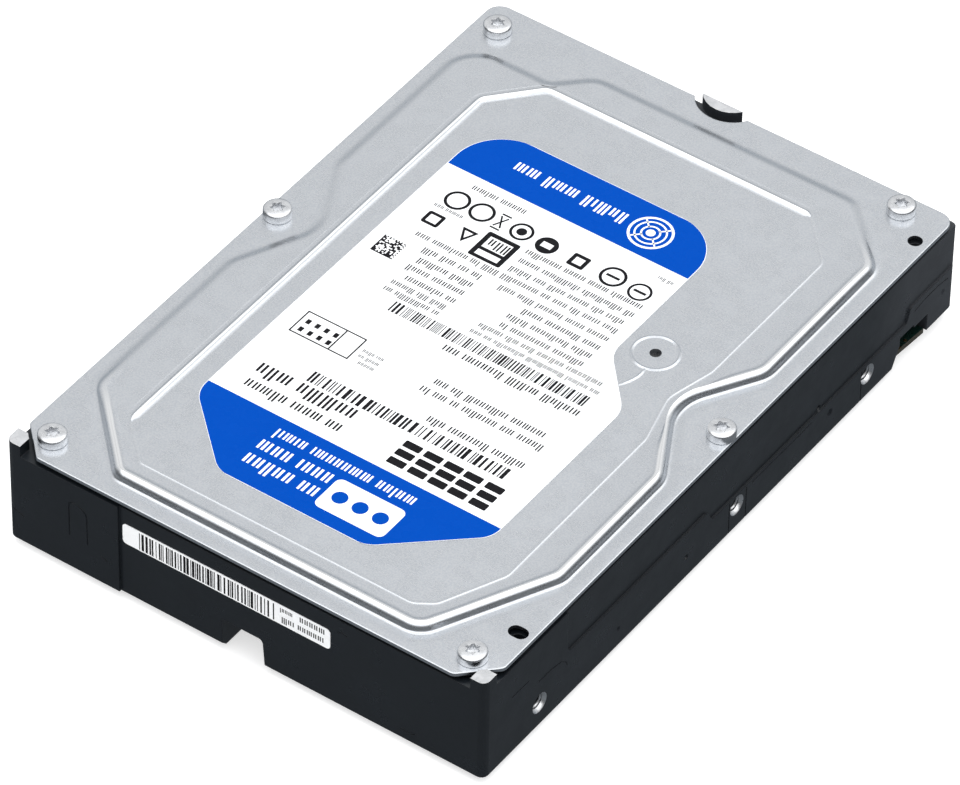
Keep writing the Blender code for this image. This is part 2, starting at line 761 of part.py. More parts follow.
def build_connectors(plastic, steel):
    """The signal and power connector, with its two blades, and the pin header beside it."""
    half = 42.73 / 2
    left, right = CONNECTOR_X - half, CONNECTOR_X + half
    low, high = BOARD_TOP + GAP, 7.8
    rear = HALF_LENGTH - 0.3
    connector = piece("sata_connector", block(left, right, 65.6, 68.6, low, high), plastic)
    join(connector, "guide_left", block(left, left + 1.8, 68.0, rear, low, high))
    join(connector, "guide_right", block(right - 1.8, right, 68.0, rear, low, high))
    join(connector, "shelf", block(left + 1.0, right - 1.0, 68.0, 69.6, low, low + 1.0))
    blade_low, blade_high = 4.3, 5.5
    blades = {"signal": (left + 4.2, left + 14.6), "power": (left + 18.0, right - 4.2)}
    for name, (x0, x1) in blades.items():
        join(connector, f"{name}_blade", block(x0, x1, 68.0, rear, blade_low, blade_high))
        join(connector, f"{name}_key", block(x0, x0 + 1.2, 68.0, rear, blade_high - 0.5, blade_high + 1.2))
    middle = -10.0
    header = piece("jumper_header", block(middle - 4.2, middle + 4.2, 66.0, 68.5, low, 7.6), plastic)
    for column in range(4):
        for z in (4.2, 6.2):
            x = middle - 3.0 + 2.0 * column
            pin = block(x - 0.25, x + 0.25, 68.2, 72.2, z - 0.25, z + 0.25)
            join(header, f"pin_{column}_{z}", pin)


def main():
    clear_scene()
    black_coat = principled("black_coat", (0.03, 0.032, 0.036), 0.45, 0.0)
    nickel = principled("cover_steel", (0.52, 0.53, 0.55), 0.38, 1.0)
    steel = principled("bright_steel", (0.62, 0.62, 0.63), 0.25, 1.0)
    aluminium = principled("bare_aluminium", (0.75, 0.75, 0.76), 0.35, 1.0)
    disk_metal = principled("disk_coating", (0.70, 0.70, 0.71), 0.04, 1.0)
    copper = principled("copper_wire", (0.72, 0.34, 0.16), 0.35, 1.0)
    magnet = principled("plated_magnet", (0.55, 0.55, 0.56), 0.2, 1.0)
    paper = principled("label_paper", (0.86, 0.87, 0.88), 0.5, 0.0)
    foam = principled("dark_foam", (0.04, 0.04, 0.04), 0.9, 0.0)
    rubber = principled("stop_rubber", (0.02, 0.02, 0.02), 0.7, 0.0)
    plastic = principled("connector_plastic", (0.02, 0.02, 0.022), 0.4, 0.0)
    ramp_plastic = principled("ramp_plastic", (0.75, 0.72, 0.62), 0.4, 0.0)
    film = principled("flex_film", (0.55, 0.28, 0.06), 0.35, 0.0)
    laminate = principled("board_laminate", (0.02, 0.10, 0.16), 0.4, 0.0)
    chip = principled("chip_resin", (0.02, 0.02, 0.02), 0.5, 0.0)
    ceramic = principled("slider_ceramic", (0.06, 0.06, 0.06), 0.3, 0.0)

    build_casting(black_coat)
    build_cover(nickel, steel)
    build_outer_papers(paper, foam)
    build_motor(aluminium, steel, copper, magnet)
    build_disk(disk_metal, steel)
    build_arm(aluminium)
    build_coil(copper)
    build_heads(steel, ceramic)
    build_pivot(steel)
    build_magnet_assembly(steel, magnet, rubber)
    build_latch(ramp_plastic, steel)
    build_ramp(ramp_plastic, steel)
    build_flex(film, plastic)
    build_filter(paper)
    build_board(laminate, foam, chip, steel)
    build_connectors(plastic, steel)


main()
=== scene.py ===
import json
import random
from math import atan2, ceil, cos, exp, hypot, pi, radians, sin, tan

import bmesh
import bpy
import numpy as np
from mathutils import Matrix, Vector
from mathutils.geometry import delaunay_2d_cdt


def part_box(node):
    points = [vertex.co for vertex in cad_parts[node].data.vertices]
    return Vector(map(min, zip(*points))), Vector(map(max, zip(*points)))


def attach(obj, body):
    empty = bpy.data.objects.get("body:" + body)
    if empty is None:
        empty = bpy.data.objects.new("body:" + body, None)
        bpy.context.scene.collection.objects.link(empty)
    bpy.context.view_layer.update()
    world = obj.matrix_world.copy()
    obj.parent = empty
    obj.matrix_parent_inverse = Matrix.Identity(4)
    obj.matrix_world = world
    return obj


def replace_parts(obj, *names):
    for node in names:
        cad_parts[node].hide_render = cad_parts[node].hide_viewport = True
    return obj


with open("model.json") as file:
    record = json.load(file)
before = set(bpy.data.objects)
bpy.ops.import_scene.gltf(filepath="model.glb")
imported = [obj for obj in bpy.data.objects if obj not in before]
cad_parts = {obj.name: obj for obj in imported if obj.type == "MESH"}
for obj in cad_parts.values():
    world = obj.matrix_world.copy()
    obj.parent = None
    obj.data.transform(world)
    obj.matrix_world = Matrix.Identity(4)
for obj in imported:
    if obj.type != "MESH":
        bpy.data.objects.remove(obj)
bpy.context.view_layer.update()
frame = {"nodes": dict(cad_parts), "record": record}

# Every length below is in millimetres until a mesh or a light is made.
MM = 0.001

# Camera: where it looks from, its turn about its own axis, its lens and how far off centre it looks.
CAMERA_AZIMUTH = 34.7468
CAMERA_ELEVATION = 43.3733
CAMERA_ROLL = -1.0716
CAMERA_DISTANCE = 1356.9714
CAMERA_SHIFT = (-1.5675, -5.5635)
FOCAL_PIXELS = 7611.296
IMAGE_WIDTH = 960
SENSOR_WIDTH = 36.0

# The casting's walls, then the heights of the closed drive.
HALF_WIDTH = 50.8
FRONT_BLOCK = -73.5
FRONT_WALL = -73.0
LUG_TOP = 24.0
COVER_BOTTOM = 22.5
FLANGE = 23.2
BAND = 24.17
MIDDLE = 24.2
LABEL_TOP = 24.32

COVER_SIDE = 50.6
COVER_REAR = 72.9
COVER_FRONT = -73.3
SCREWS = {
    "front_left": (-44.7, -68.1),
    "front_right": (44.7, -68.1),
    "middle_left": (-48.0, 1.7),
    "middle_right": (48.0, 1.7),
    "rear_left": (-45.6, 66.3),
    "rear_right": (41.4, 68.8),
}
BREATHER = (27.6, 11.1)
SIDE_HOLE_Y = (-56.6, 3.4, 45.0)
SIDE_HOLE_Z = 6.35
UNDER_HOLE_Y = (-12.23, 32.22)
UNDER_HOLE_X = 47.62
THREAD_RADIUS = 1.5

# A casting face whose normal has a part this large lies square to an axis and is shaded flat.
SQUARE_ON = 0.9995


# Shaders.


class Nodes:
    """A short way to add nodes to a tree."""

    def __init__(self, tree):
        self.tree = tree

    def new(self, kind, **settings):
        node = self.tree.nodes.new("ShaderNode" + kind)
        for name, value in settings.items():
            setattr(node, name, value)
        return node

    def join(self, source, target):
        self.tree.links.new(source, target)

    def put(self, socket, value):
        if isinstance(value, (int, float, tuple)):
            socket.default_value = value
        else:
            self.join(value, socket)

    def math(self, operation, a, b=0.0, c=0.0):
        node = self.new("Math", operation=operation)
        for socket, value in zip(node.inputs, (a, b, c)):
            self.put(socket, value)
        return node.outputs[0]

    def part(self, vector, number):
        node = self.new("SeparateXYZ")
        self.join(vector, node.inputs[0])
        return node.outputs[number]

    def remap(self, value, low, high, to_low=0.0, to_high=1.0):
        node = self.new("MapRange", interpolation_type="SMOOTHSTEP")
        self.join(value, node.inputs["Value"])
        for socket, number in zip(list(node.inputs)[1:5], (low, high, to_low, to_high)):
            socket.default_value = number
        return node.outputs["Result"]

    def mix(self, share, a, b):
        node = self.new("Mix", data_type="RGBA")
        self.put(node.inputs["Factor"], share)
        for socket, value in ((node.inputs[6], a), (node.inputs[7], b)):
            self.put(socket, (*value, 1.0) if isinstance(value, tuple) else value)
        return node.outputs[2]


class Shader(Nodes):
    """A Principled material whose pattern follows the piece. Lengths inside it are millimetres."""

    def __init__(self, name, **sockets):
        self.material = bpy.data.materials.new(name)
        self.material.use_nodes = True
        super().__init__(self.material.node_tree)
        self.surface = self.tree.nodes["Principled BSDF"]
        for socket, value in sockets.items():
            self.surface.inputs[socket.replace("_", " ")].default_value = value
        coordinates = self.new("TexCoord")
        self.normal_here = coordinates.outputs["Normal"]
        scaled = self.new("VectorMath", operation="SCALE")
        scaled.inputs["Scale"].default_value = 1 / MM
        self.join(coordinates.outputs["Object"], scaled.inputs[0])
        self.place = scaled.outputs["Vector"]
        self.relief = None

    def axis(self, number):
        return self.part(self.place, number)

    def stretched(self, x, y, z):
        node = self.new("VectorMath", operation="MULTIPLY")
        self.join(self.place, node.inputs[0])
        node.inputs[1].default_value = (x, y, z)
        return node.outputs["Vector"]

    def noise(self, size, detail=3.0, roughness=0.5, place=None):
        """A value about 0.5 whose blotches are about size across."""
        node = self.new("TexNoise")
        node.inputs["Scale"].default_value = 1 / size
        node.inputs["Detail"].default_value = detail
        node.inputs["Roughness"].default_value = roughness
        self.join(place or self.place, node.inputs["Vector"])
        return node.outputs["Fac"]

    def cells(self, size):
        node = self.new("TexVoronoi", feature="F1")
        node.inputs["Scale"].default_value = 1 / size
        self.join(self.place, node.inputs["Vector"])
        return node.outputs["Distance"]

    def bump(self, height, depth):
        """Adds relief; depth is in millimetres for a height from 0 to 1."""
        node = self.new("Bump")
        node.inputs["Strength"].default_value = 1.0
        node.inputs["Distance"].default_value = depth * MM
        self.join(height, node.inputs["Height"])
        if self.relief:
            self.join(self.relief, node.inputs["Normal"])
        self.relief = node.outputs["Normal"]

    def rounded(self, radius):
        """Softens sharp edges in the shading only."""
        node = self.new("Bevel", samples=4)
        node.inputs["Radius"].default_value = radius * MM
        self.relief = node.outputs["Normal"]

    def done(self, colour=None, roughness=None, metallic=None):
        for socket, value in (("Base Color", colour), ("Roughness", roughness), ("Metallic", metallic)):
            if value is not None:
                self.join(value, self.surface.inputs[socket])
        if self.relief:
            self.join(self.relief, self.surface.inputs["Normal"])
        return self.material

    def varied(self, colour, size, detail, low, high):
        """Ends the material with a roughness that wanders between low and high."""
        return self.done(colour, self.remap(self.noise(size, detail), 0.3, 0.7, low, high))


def black_coat():
    """Glossy black electrocoat over die-cast aluminium: fine orange peel, a little dust, and a painted sheen
    that lightens the rear end.
    """
    s = Shader("black_electrocoat", Metallic=0.0, IOR=1.5, Specular_IOR_Level=0.36)
    s.rounded(0.28)
    dust = s.remap(s.noise(0.13, 2), 0.68, 0.76)
    cloud = s.noise(14, 3)
    colour = s.mix(cloud, (0.0062, 0.0082, 0.0108), (0.0095, 0.0125, 0.0162))
    # Painted sheen: the colour turns lighter towards the rear end (y above about 52 mm), standing in for
    # light falling there, not for a change in the coat.
    film = s.remap(s.math("MULTIPLY_ADD", s.noise(16, 2), 24.0, s.axis(1)), 52.0, 84.0)
    colour = s.mix(film, colour, (0.026, 0.029, 0.034))
    colour = s.mix(s.math("MULTIPLY", dust, 0.06), colour, (0.22, 0.23, 0.25))
    roughness = s.remap(s.noise(5, 4), 0.3, 0.7, 0.27, 0.37)
    s.bump(s.noise(1.1, 2), 0.012)
    s.bump(s.noise(0.22, 2), 0.0022)
    return s.done(colour, roughness)


def cover_metal():
    """Satin plated steel; the crests of the pressed ridges carry a painted highlight, a much brighter colour,
    and are also a little less rough.
    """
    s = Shader("cover_plated_steel", Metallic=1.0)
    painted_crest_highlight = s.new("Attribute", attribute_name="painted_crest_highlight").outputs["Fac"]
    mottle = s.noise(9, 4)
    speckle = s.noise(0.34, 2, 0.6)
    satin = s.mix(mottle, (0.600, 0.628, 0.668), (0.620, 0.648, 0.686))
    satin = s.mix(s.remap(speckle, 0.35, 0.65), satin, s.mix(0.5, satin, (0.78, 0.79, 0.80)))
    stain = s.remap(s.noise(1.7, 3), 0.70, 0.80)
    satin = s.mix(s.math("MULTIPLY", stain, 0.25), satin, (0.5, 0.51, 0.53))
    # Painted highlight: the crests of the ridges get a much brighter colour than the rest of the cover.
    colour = s.mix(painted_crest_highlight, satin, (0.93, 0.935, 0.94))
    grain = s.noise(1, 3, 0.6, s.stretched(0.12, 5.0, 1.0))
    roughness = s.remap(s.noise(3.2, 4), 0.25, 0.75, 0.235, 0.285)
    roughness = s.math("MULTIPLY_ADD", grain, 0.04, roughness)
    roughness = s.math("MULTIPLY_ADD", painted_crest_highlight, -0.10, roughness)
    s.bump(s.noise(38, 1), 0.020)
    s.bump(s.noise(0.42, 2), 0.0011)
    s.bump(grain, 0.0015)
    return s.done(colour, roughness)


def bright_metal(name, dark, light, low, high, turned_marks=True):
    """Plated or machined metal with fine level marks, as from turning, or else an even grain."""
    s = Shader(name, Metallic=1.0)
    colour = s.mix(s.remap(s.noise(1.4, 4), 0.3, 0.7), dark, light)
    roughness = s.remap(s.noise(0.5, 4), 0.25, 0.75, low, high)
    s.rounded(0.12)
    marks = s.noise(0.08, 2, 0.5, s.stretched(1, 1, 6)) if turned_marks else s.noise(0.3, 4)
    s.bump(marks, 0.003)
    return s.done(colour, roughness)


def mirror_coating():
    s = Shader("disk_mirror", Metallic=1.0)
    haze = s.noise(18, 4)
    fine = s.noise(0.6, 2)
    colour = s.mix(haze, (0.66, 0.65, 0.645), (0.73, 0.725, 0.72))
    roughness = s.remap(fine, 0.2, 0.8, 0.02, 0.05)
    s.bump(haze, 0.0008)
    return s.done(colour, roughness)


def copper_windings():
    s = Shader("enamelled_copper", Metallic=1.0)
    turns = s.noise(1, 1, 0.5, s.stretched(0.4, 0.4, 9))
    colour = s.mix(turns, (0.50, 0.20, 0.075), (0.80, 0.40, 0.19))
    s.bump(turns, 0.04)
    return s.varied(colour, 0.4, 3, 0.22, 0.40)


def label_paper():
    """Gloss-laminated label film: white, with the faint waviness of the glue below."""
    s = Shader("label_film", IOR=1.46, Specular_IOR_Level=0.4)
    cloud = s.noise(11, 3)
    fibre = s.noise(0.25, 3)
    colour = s.mix(cloud, (0.85, 0.862, 0.878), (0.885, 0.892, 0.90))
    colour = s.mix(s.remap(fibre, 0.60, 0.75, 0.0, 0.3), colour, (0.80, 0.81, 0.825))
    s.bump(s.noise(5, 2), 0.010)
    s.bump(fibre, 0.0012)
    return s.varied(colour, 2.5, 3, 0.24, 0.34)


def printed(name, dark, light, low=0.26, high=0.36):
    """Printing ink: slightly uneven density with pinholes too small to read as marks."""
    s = Shader(name, IOR=1.46, Specular_IOR_Level=0.03)
    density = s.noise(0.9, 4)
    colour = s.mix(density, dark, light)
    colour = s.mix(s.remap(s.noise(6, 2), 0.35, 0.7, 0.0, 0.25), colour, light)
    s.bump(s.noise(5, 2), 0.010)
    return s.varied(colour, 2.5, 3, low, high)


def foam():
    s = Shader("dark_foam", Specular_IOR_Level=0.2)
    pores = s.cells(0.45)
    colour = s.mix(s.remap(pores, 0.1, 0.6), (0.012, 0.012, 0.013), (0.05, 0.05, 0.052))
    s.bump(pores, 0.15)
    return s.varied(colour, 1, 3, 0.85, 0.98)


def cloth():
    s = Shader("filter_fibres", Specular_IOR_Level=0.2)
    fibres = s.noise(1, 4, 0.6, s.stretched(3, 3, 1.2))
    colour = s.mix(fibres, (0.62, 0.62, 0.59), (0.88, 0.88, 0.86))
    s.bump(fibres, 0.12)
    return s.varied(colour, 0.7, 3, 0.82, 0.96)


def moulded(name, dark, light, low, high, grain=0.18, depth=0.006):
    """Moulded plastic or cast resin with a fine spark-eroded grain."""
    s = Shader(name, IOR=1.5, Specular_IOR_Level=0.45)
    s.rounded(0.12)
    colour = s.mix(s.noise(4, 4), dark, light)
    s.bump(s.noise(grain, 2, 0.7), depth)
    return s.varied(colour, 1.2, 4, low, high)


def polyimide():
    s = Shader("polyimide_ribbon", IOR=1.6, Specular_IOR_Level=0.5)
    strips = s.remap(s.math("FRACT", s.math("MULTIPLY", s.axis(2), 1.6)), 0.40, 0.52)
    colour = s.mix(strips, (0.40, 0.15, 0.022), (0.62, 0.30, 0.06))
    colour = s.mix(s.noise(3, 3), colour, s.mix(0.5, colour, (0.30, 0.11, 0.02)))
    s.bump(strips, 0.02)
    return s.varied(colour, 1, 3, 0.18, 0.30)


def laminate():
    """Circuit board: glossy resist above and below, bare glass-fibre along the cut edge."""
    s = Shader("board_resist", IOR=1.5, Specular_IOR_Level=0.5)
    facing = s.remap(s.math("ABSOLUTE", s.part(s.normal_here, 2)), 0.4, 0.7)
    waves = [s.math("SINE", s.math("MULTIPLY", s.axis(k), 2 * pi / 0.5)) for k in (0, 1)]
    weave = s.math("MULTIPLY", *waves)
    resist = s.mix(s.noise(6, 4), (0.003, 0.012, 0.010), (0.005, 0.018, 0.014))
    resist = s.mix(s.remap(weave, -1.0, 1.0, 0.0, 0.25), resist, (0.006, 0.024, 0.019))
    edge = s.mix(s.noise(0.3, 3), (0.020, 0.018, 0.012), (0.045, 0.038, 0.024))
    s.bump(weave, 0.004)
    return s.varied(s.mix(facing, edge, resist), 2, 3, 0.22, 0.34)


def header_blocks():
    """Black moulding whose pins, beyond the moulding's face, are gold plated."""
    s = Shader("jumper_header_finish", IOR=1.5, Specular_IOR_Level=0.45)
    s.rounded(0.08)
    pin = s.remap(s.axis(1), 68.55, 68.60)
    plastic = s.mix(s.noise(1.5, 3), (0.010, 0.010, 0.011), (0.022, 0.022, 0.023))
    gold = s.mix(s.noise(0.5, 3), (0.78, 0.52, 0.19), (0.92, 0.66, 0.28))
    s.bump(s.noise(0.15, 2), 0.004)
    rough = s.math("MULTIPLY_ADD", pin, -0.22, s.remap(s.noise(0.8, 3), 0.3, 0.7, 0.40, 0.52))
    return s.done(s.mix(pin, plastic, gold), rough, pin)


def gold_plate():
    s = Shader("gold_contact", Metallic=1.0)
    colour = s.mix(s.noise(0.4, 4), (0.80, 0.53, 0.20), (0.93, 0.68, 0.30))
    s.bump(s.noise(0.2, 3), 0.003)
    return s.varied(colour, 0.6, 3, 0.16, 0.28)


FINISH = {
    "body_black": black_coat(),
    "cover_steel": cover_metal(),
    "bright_steel": bright_metal("zinc_plated_steel", (0.66, 0.67, 0.69), (0.80, 0.81, 0.825), 0.20, 0.34),
    "bare_aluminium": bright_metal(
        "machined_aluminium", (0.70, 0.71, 0.725), (0.84, 0.845, 0.86), 0.26, 0.40
    ),
    "disk_coating": mirror_coating(),
    "copper_wire": copper_windings(),
    "plated_magnet": bright_metal("nickel_plated", (0.58, 0.57, 0.55), (0.70, 0.69, 0.67), 0.10, 0.20, False),
    "label_paper": label_paper(),
    "dark_foam": foam(),
    "filter_cloth": cloth(),
    "black_plastic": moulded("black_moulding", (0.011, 0.011, 0.012), (0.022, 0.022, 0.024), 0.38, 0.52),
    "ramp_plastic": moulded("natural_polymer", (0.62, 0.57, 0.46), (0.74, 0.70, 0.59), 0.38, 0.50),
    "flex_film": polyimide(),
    "board_laminate": laminate(),
    "chip_resin": moulded("chip_resin", (0.012, 0.012, 0.013), (0.026, 0.026, 0.027), 0.50, 0.66, 0.1, 0.01),
    "slider_ceramic": moulded(
        "slider_ceramic", (0.03, 0.03, 0.032), (0.055, 0.055, 0.058), 0.14, 0.24, 0.1, 0.001
    ),
}
GOLD = gold_plate()
INK_BLACK = printed("black_ink", (0.006, 0.006, 0.007), (0.016, 0.016, 0.018))
INK_BLUE = printed("blue_ink", (0.0001, 0.0528, 0.3520), (0.0005, 0.0608, 0.3800), 0.22, 0.32)
INK_WHITE = printed("white_ink", (0.84, 0.85, 0.87), (0.90, 0.90, 0.91))
BOARD_TRACK = moulded("covered_copper_track", (0.012, 0.095, 0.066), (0.018, 0.125, 0.085), 0.22, 0.32)


# Flat shapes and meshes.


def rounded_loop(corners, turn=8.0, run=3.0):
    """Places and outward directions along an anticlockwise outline of (x, y, radius) corners."""
    bends = []
    for i, (x, y, radius) in enumerate(corners):
        corner = Vector((x, y))
        before = (corner - Vector(corners[i - 1][:2])).normalized()
        after = (Vector(corners[(i + 1) % len(corners)][:2]) - corner).normalized()
        angle = atan2(before.x * after.y - before.y * after.x, before.dot(after))
        reach = radius * tan(abs(angle) / 2)
        bends.append((corner - before * reach, before, angle, radius))
    samples = []
    for i, (start, before, angle, radius) in enumerate(bends):
        side = 1 if angle > 0 else -1
        centre = start + Vector((-before.y, before.x)) * side * radius
        steps = max(1, ceil(abs(angle) / radians(turn))) if radius else 0
        for k in range(steps + 1):
            bend = angle * k / steps if steps else 0.0
            along = Matrix.Rotation(bend, 2) @ before
            place = centre - Vector((-along.y, along.x)) * side * radius
            samples.append((place, Vector((along.y, -along.x))))
        here = samples[-1][0]
        there = bends[(i + 1) % len(bends)][0]
        pieces = max(1, round((there - here).length / run))
        samples += [(here.lerp(there, k / pieces), samples[-1][1]) for k in range(1, pieces)]
    return samples


def outline_of(corners, turn=12.0):
    return [tuple(place) for place, _ in rounded_loop(corners, turn, 1e9)]


def rectangle(x0, x1, y0, y1, radius=0.0):
    if not radius:
        return [(x0, y0), (x1, y0), (x1, y1), (x0, y1)]
    return outline_of([(x0, y0, radius), (x1, y0, radius), (x1, y1, radius), (x0, y1, radius)], 18)


def circle(x, y, radius, sides=32, start=0.0):
    turns = [2 * pi * k / sides + start for k in range(sides)]
    return [(x + radius * cos(a), y + radius * sin(a)) for a in turns]


def direction(path, k):
    """The way a path runs at its point k."""
    before, after = path[max(0, k - 1)], path[min(len(path) - 1, k + 1)]
    return Vector((after[0] - before[0], after[1] - before[1])).normalized()


class Shape:
    """Collects points and faces, in millimetres, for one mesh."""

    def __init__(self):
        self.points = []
        self.faces = []

    def add(self, points, faces):
        base = len(self.points)
        self.points += [tuple(p) for p in points]
        self.faces += [tuple(base + i for i in face) for face in faces]

    def flat(self, outlines, z, up=True):
        """A level face inside the first outline and outside the others."""
        places, edges = [], []
        for outline in outlines:
            base, count = len(places), len(outline)
            places += [Vector(p) for p in outline]
            edges += [(base + k, base + (k + 1) % count) for k in range(count)]
        points, _, faces, *_ = delaunay_2d_cdt(places, edges, [], 1, 1e-6)
        starts = np.array([places[a] for a, _ in edges])
        ends = np.array([places[b] for _, b in edges])
        kept = []
        for face in faces:
            x, y = sum((points[i] for i in face), Vector((0, 0))) / len(face)
            crossed = (starts[:, 1] > y) != (ends[:, 1] > y)
            a, b = starts[crossed], ends[crossed]
            to_the_right = a[:, 0] + (y - a[:, 1]) / (b[:, 1] - a[:, 1]) * (b[:, 0] - a[:, 0]) > x
            if to_the_right.sum() % 2:
                kept.append(face if up else tuple(reversed(face)))
        self.add([(p.x, p.y, z) for p in points], kept)

    def wall(self, lower, upper):
        """Side faces between two rings of as many points, facing out if they run anticlockwise."""
        n = len(lower)
        self.add([*lower, *upper], [(i, (i + 1) % n, n + (i + 1) % n, n + i) for i in range(n)])

    def slab(self, outline, z0, z1, holes=()):
        rings = [[(x, y, z0) for x, y in outline], [(x, y, z1) for x, y in outline]]
        self.wall(*rings)
        for hole in holes:
            self.wall([(x, y, z1) for x, y in hole], [(x, y, z0) for x, y in hole])
        self.flat([outline, *holes], z1)
        self.flat([outline, *holes], z0, up=False)

    def block(self, x0, x1, y0, y1, z0, z1):
        self.slab(rectangle(x0, x1, y0, y1), z0, z1)

    def ridge(self, path, half_width, height, z, ends=True):
        """A low rounded ridge along an open path, its ends tapered away."""
        profile = [(-1.0, 0.0), (-0.7, 0.12), (-0.4, 0.55), (0.0, 1.0), (0.4, 0.55), (0.7, 0.12), (1.0, 0.0)]
        lengths = [0.0]
        for a, b in zip(path, path[1:]):
            lengths.append(lengths[-1] + hypot(b[0] - a[0], b[1] - a[1]))
        rows = []
        for i, (x, y) in enumerate(path):
            along = direction(path, i)
            near_end = min(lengths[i], lengths[-1] - lengths[i]) if ends else 1e9
            scale = height * min(1.0, near_end / 1.2)
            rows.append([(x + along.y * d * half_width, y - along.x * d * half_width, z + h * scale)
                         for d, h in profile])
        self.strips(rows, False)

    def strips(self, rows, around=True):
        """Quads across rows of points; each row runs from left to right of the way along."""
        wide = len(rows[0])
        last = len(rows) if around else len(rows) - 1
        faces = []
        for i in range(last):
            here, there = i * wide, (i + 1) % len(rows) * wide
            faces += [(here + j, here + j + 1, there + j + 1, there + j) for j in range(wide - 1)]
        self.add([p for row in rows for p in row], faces)


def placed(name, data):
    thing = bpy.data.objects.new(name, data)
    bpy.context.scene.collection.objects.link(thing)
    return thing


def reworked(source, target, operation):
    """Puts the source mesh, after one bmesh operation, into the target mesh."""
    work = bmesh.new()
    work.from_mesh(source)
    operation(work)
    work.to_mesh(target)
    work.free()


def merged(distance):
    """The operation that joins points closer than a distance."""
    return lambda work: bmesh.ops.remove_doubles(work, verts=work.verts, dist=distance * MM)


def meshed(name, shape, merge):
    mesh = bpy.data.meshes.new(name)
    mesh.from_pydata([(x * MM, y * MM, z * MM) for x, y, z in shape.points], [], shape.faces)
    reworked(mesh, mesh, merged(merge))
    mesh.validate()
    return mesh


def made(name, shape, slot, material=None, crease=32.0, merge=0.002):
    """A piece of the casting's body; it has its slot's usual finish unless another is given."""
    mesh = meshed(name, shape, merge)
    mesh.shade_smooth()
    mesh.set_sharp_from_angle(angle=radians(crease))
    mesh.materials.append(material or FINISH[slot])
    piece = placed(name, mesh)
    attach(piece, "root")
    return piece


# The pressed cover.

OUTER_LOOP = [
    (-30.4, -69.3, 4), (34.3, -69.3, 5), (46.8, -44.4, 6), (46.7, -13.9, 7), (37.4, 3.0, 9.5),
    (46.6, 18.4, 7), (46.5, 53.0, 5), (33.4, 65.2, 4), (-22.5, 65.2, 5), (-29.0, 58.9, 4),
    (-46.9, 58.9, 6.5), (-46.9, 18.8, 7), (-38.9, 3.0, 9.5), (-46.9, -13.4, 7), (-46.9, -52.9, 5),
]
INNER_LOOP = [
    (-28.5, -64.4, 2), (29.5, -64.4, 3), (33.0, -62.0, 3), (38.8, -49.5, 4), (38.6, -8.0, 5),
    (35.8, 3.0, 6), (38.3, 13.0, 5), (38.3, 48.0, 3), (29.5, 57.4, 2.5), (-28.0, 57.4, 2.5),
    (-36.4, 48.0, 2.5), (-36.4, -57.0, 3),
]
CRISP_STEP = [
    (-3.0, 24.17), (-2.7, 24.19), (-2.4, 24.25), (-2.1, 24.36), (-1.85, 24.48), (-1.6, 24.60),
    (-1.4, 24.67), (-1.25, 24.69), (-1.0, 24.65), (-0.75, 24.53), (-0.5, 24.35), (-0.32, 24.15),
    (-0.19, 23.93), (-0.09, 23.70), (0.0, 23.47), (0.1, 23.29), (0.24, 23.155), (0.42, 23.08),
    (0.65, 23.045), (0.95, 23.05), (1.4, 23.10), (1.85, 23.16), (2.3, 23.2), (2.7, 23.2),
]
# How gradually the lip fades into the plain roll, along the step.
FADE = 4.5
HALF_BEAD = [0.15, 0.3, 0.45, 0.6, 0.75, 0.95, 1.15, 1.35, 1.6]
BEAD = [-reach for reach in reversed(HALF_BEAD)] + [0.0] + HALF_BEAD


def smoothstep(low, high, value):
    t = min(1.0, max(0.0, (value - low) / (high - low)))
    return t * t * (3 - 2 * t)


def outer_rows():
    """The step from the raised middle down to the flange: a crisp lip or, on some sides, a plain roll."""
    rows, painted_crest_highlight = [], []
    inner = [place for place, _ in rounded_loop(INNER_LOOP, 8, 0.5)]
    loop = rounded_loop(OUTER_LOOP, 6, 2)
    turned = [smoothstep(0.12, -0.12, out.y * 0.82 - out.x * 0.57) for _, out in loop]
    for place, out in loop:
        weights = [exp(-(((place - other).length / FADE) ** 2)) for other, _ in loop]
        crisp = sum(w * t for w, t in zip(weights, turned)) / sum(weights)
        room = min((place - other).length for other in inner) - BEAD[-1] - 0.15
        squeeze = (min(3.0, max(1.3, room)) - 1.2) / 1.8
        row, painted_row_highlight = [], []
        for reach, height in CRISP_STEP:
            soft = BAND + (FLANGE - BAND) * smoothstep(-1.5, 1.9, reach)
            if reach in (-3.0, 2.7):
                soft = BAND if reach < 0 else FLANGE
            near = reach if reach > -1.2 else -1.2 + (reach + 1.2) * squeeze
            spot = place + out * near
            row.append((spot.x, spot.y, crisp * height + (1 - crisp) * soft))
            # Painted highlight along the crest of the lip, read by the cover's material as a brighter colour.
            painted_row_highlight.append(crisp * smoothstep(24.45, 24.62, height))
        rows.append(row)
        painted_crest_highlight.append(painted_row_highlight)
    return rows, painted_crest_highlight


def inner_rows():
    """The bead round the middle: proud along the left and the connector end, only a faint line elsewhere."""
    rows, painted_crest_highlight = [], []
    for place, out in rounded_loop(INNER_LOOP, 8, 3):
        left = smoothstep(-35.6, -36.2, place.x) * smoothstep(-57.5, -55.0, place.y)
        corner = smoothstep(-26.0, -28.0, place.x) * smoothstep(47.0, 48.0, place.y)
        rear = smoothstep(57.0, 57.3, place.y) * smoothstep(30.5, 28.0, place.x)
        proud = max(0.10, left, corner, rear)
        width = 0.42 + 0.58 * proud
        row, painted_row_highlight = [], []
        for reach in BEAD:
            step = MIDDLE + (BAND - MIDDLE) * smoothstep(-0.6, 0.6, reach)
            crest = 0.52 * exp(-((reach / 0.46) ** 2))
            valley = 0.04 * exp(-(((abs(reach) - 1.3) / 0.2) ** 2))
            spot = place + out * reach * width
            row.append((spot.x, spot.y, step + proud * (crest - valley)))
            # Painted highlight along the crest of the bead, read by the cover's material as a brighter
            # colour.
            painted_row_highlight.append(proud * smoothstep(0.26, 0.48, crest))
        rows.append(row)
        painted_crest_highlight.append(painted_row_highlight)
    return rows, painted_crest_highlight


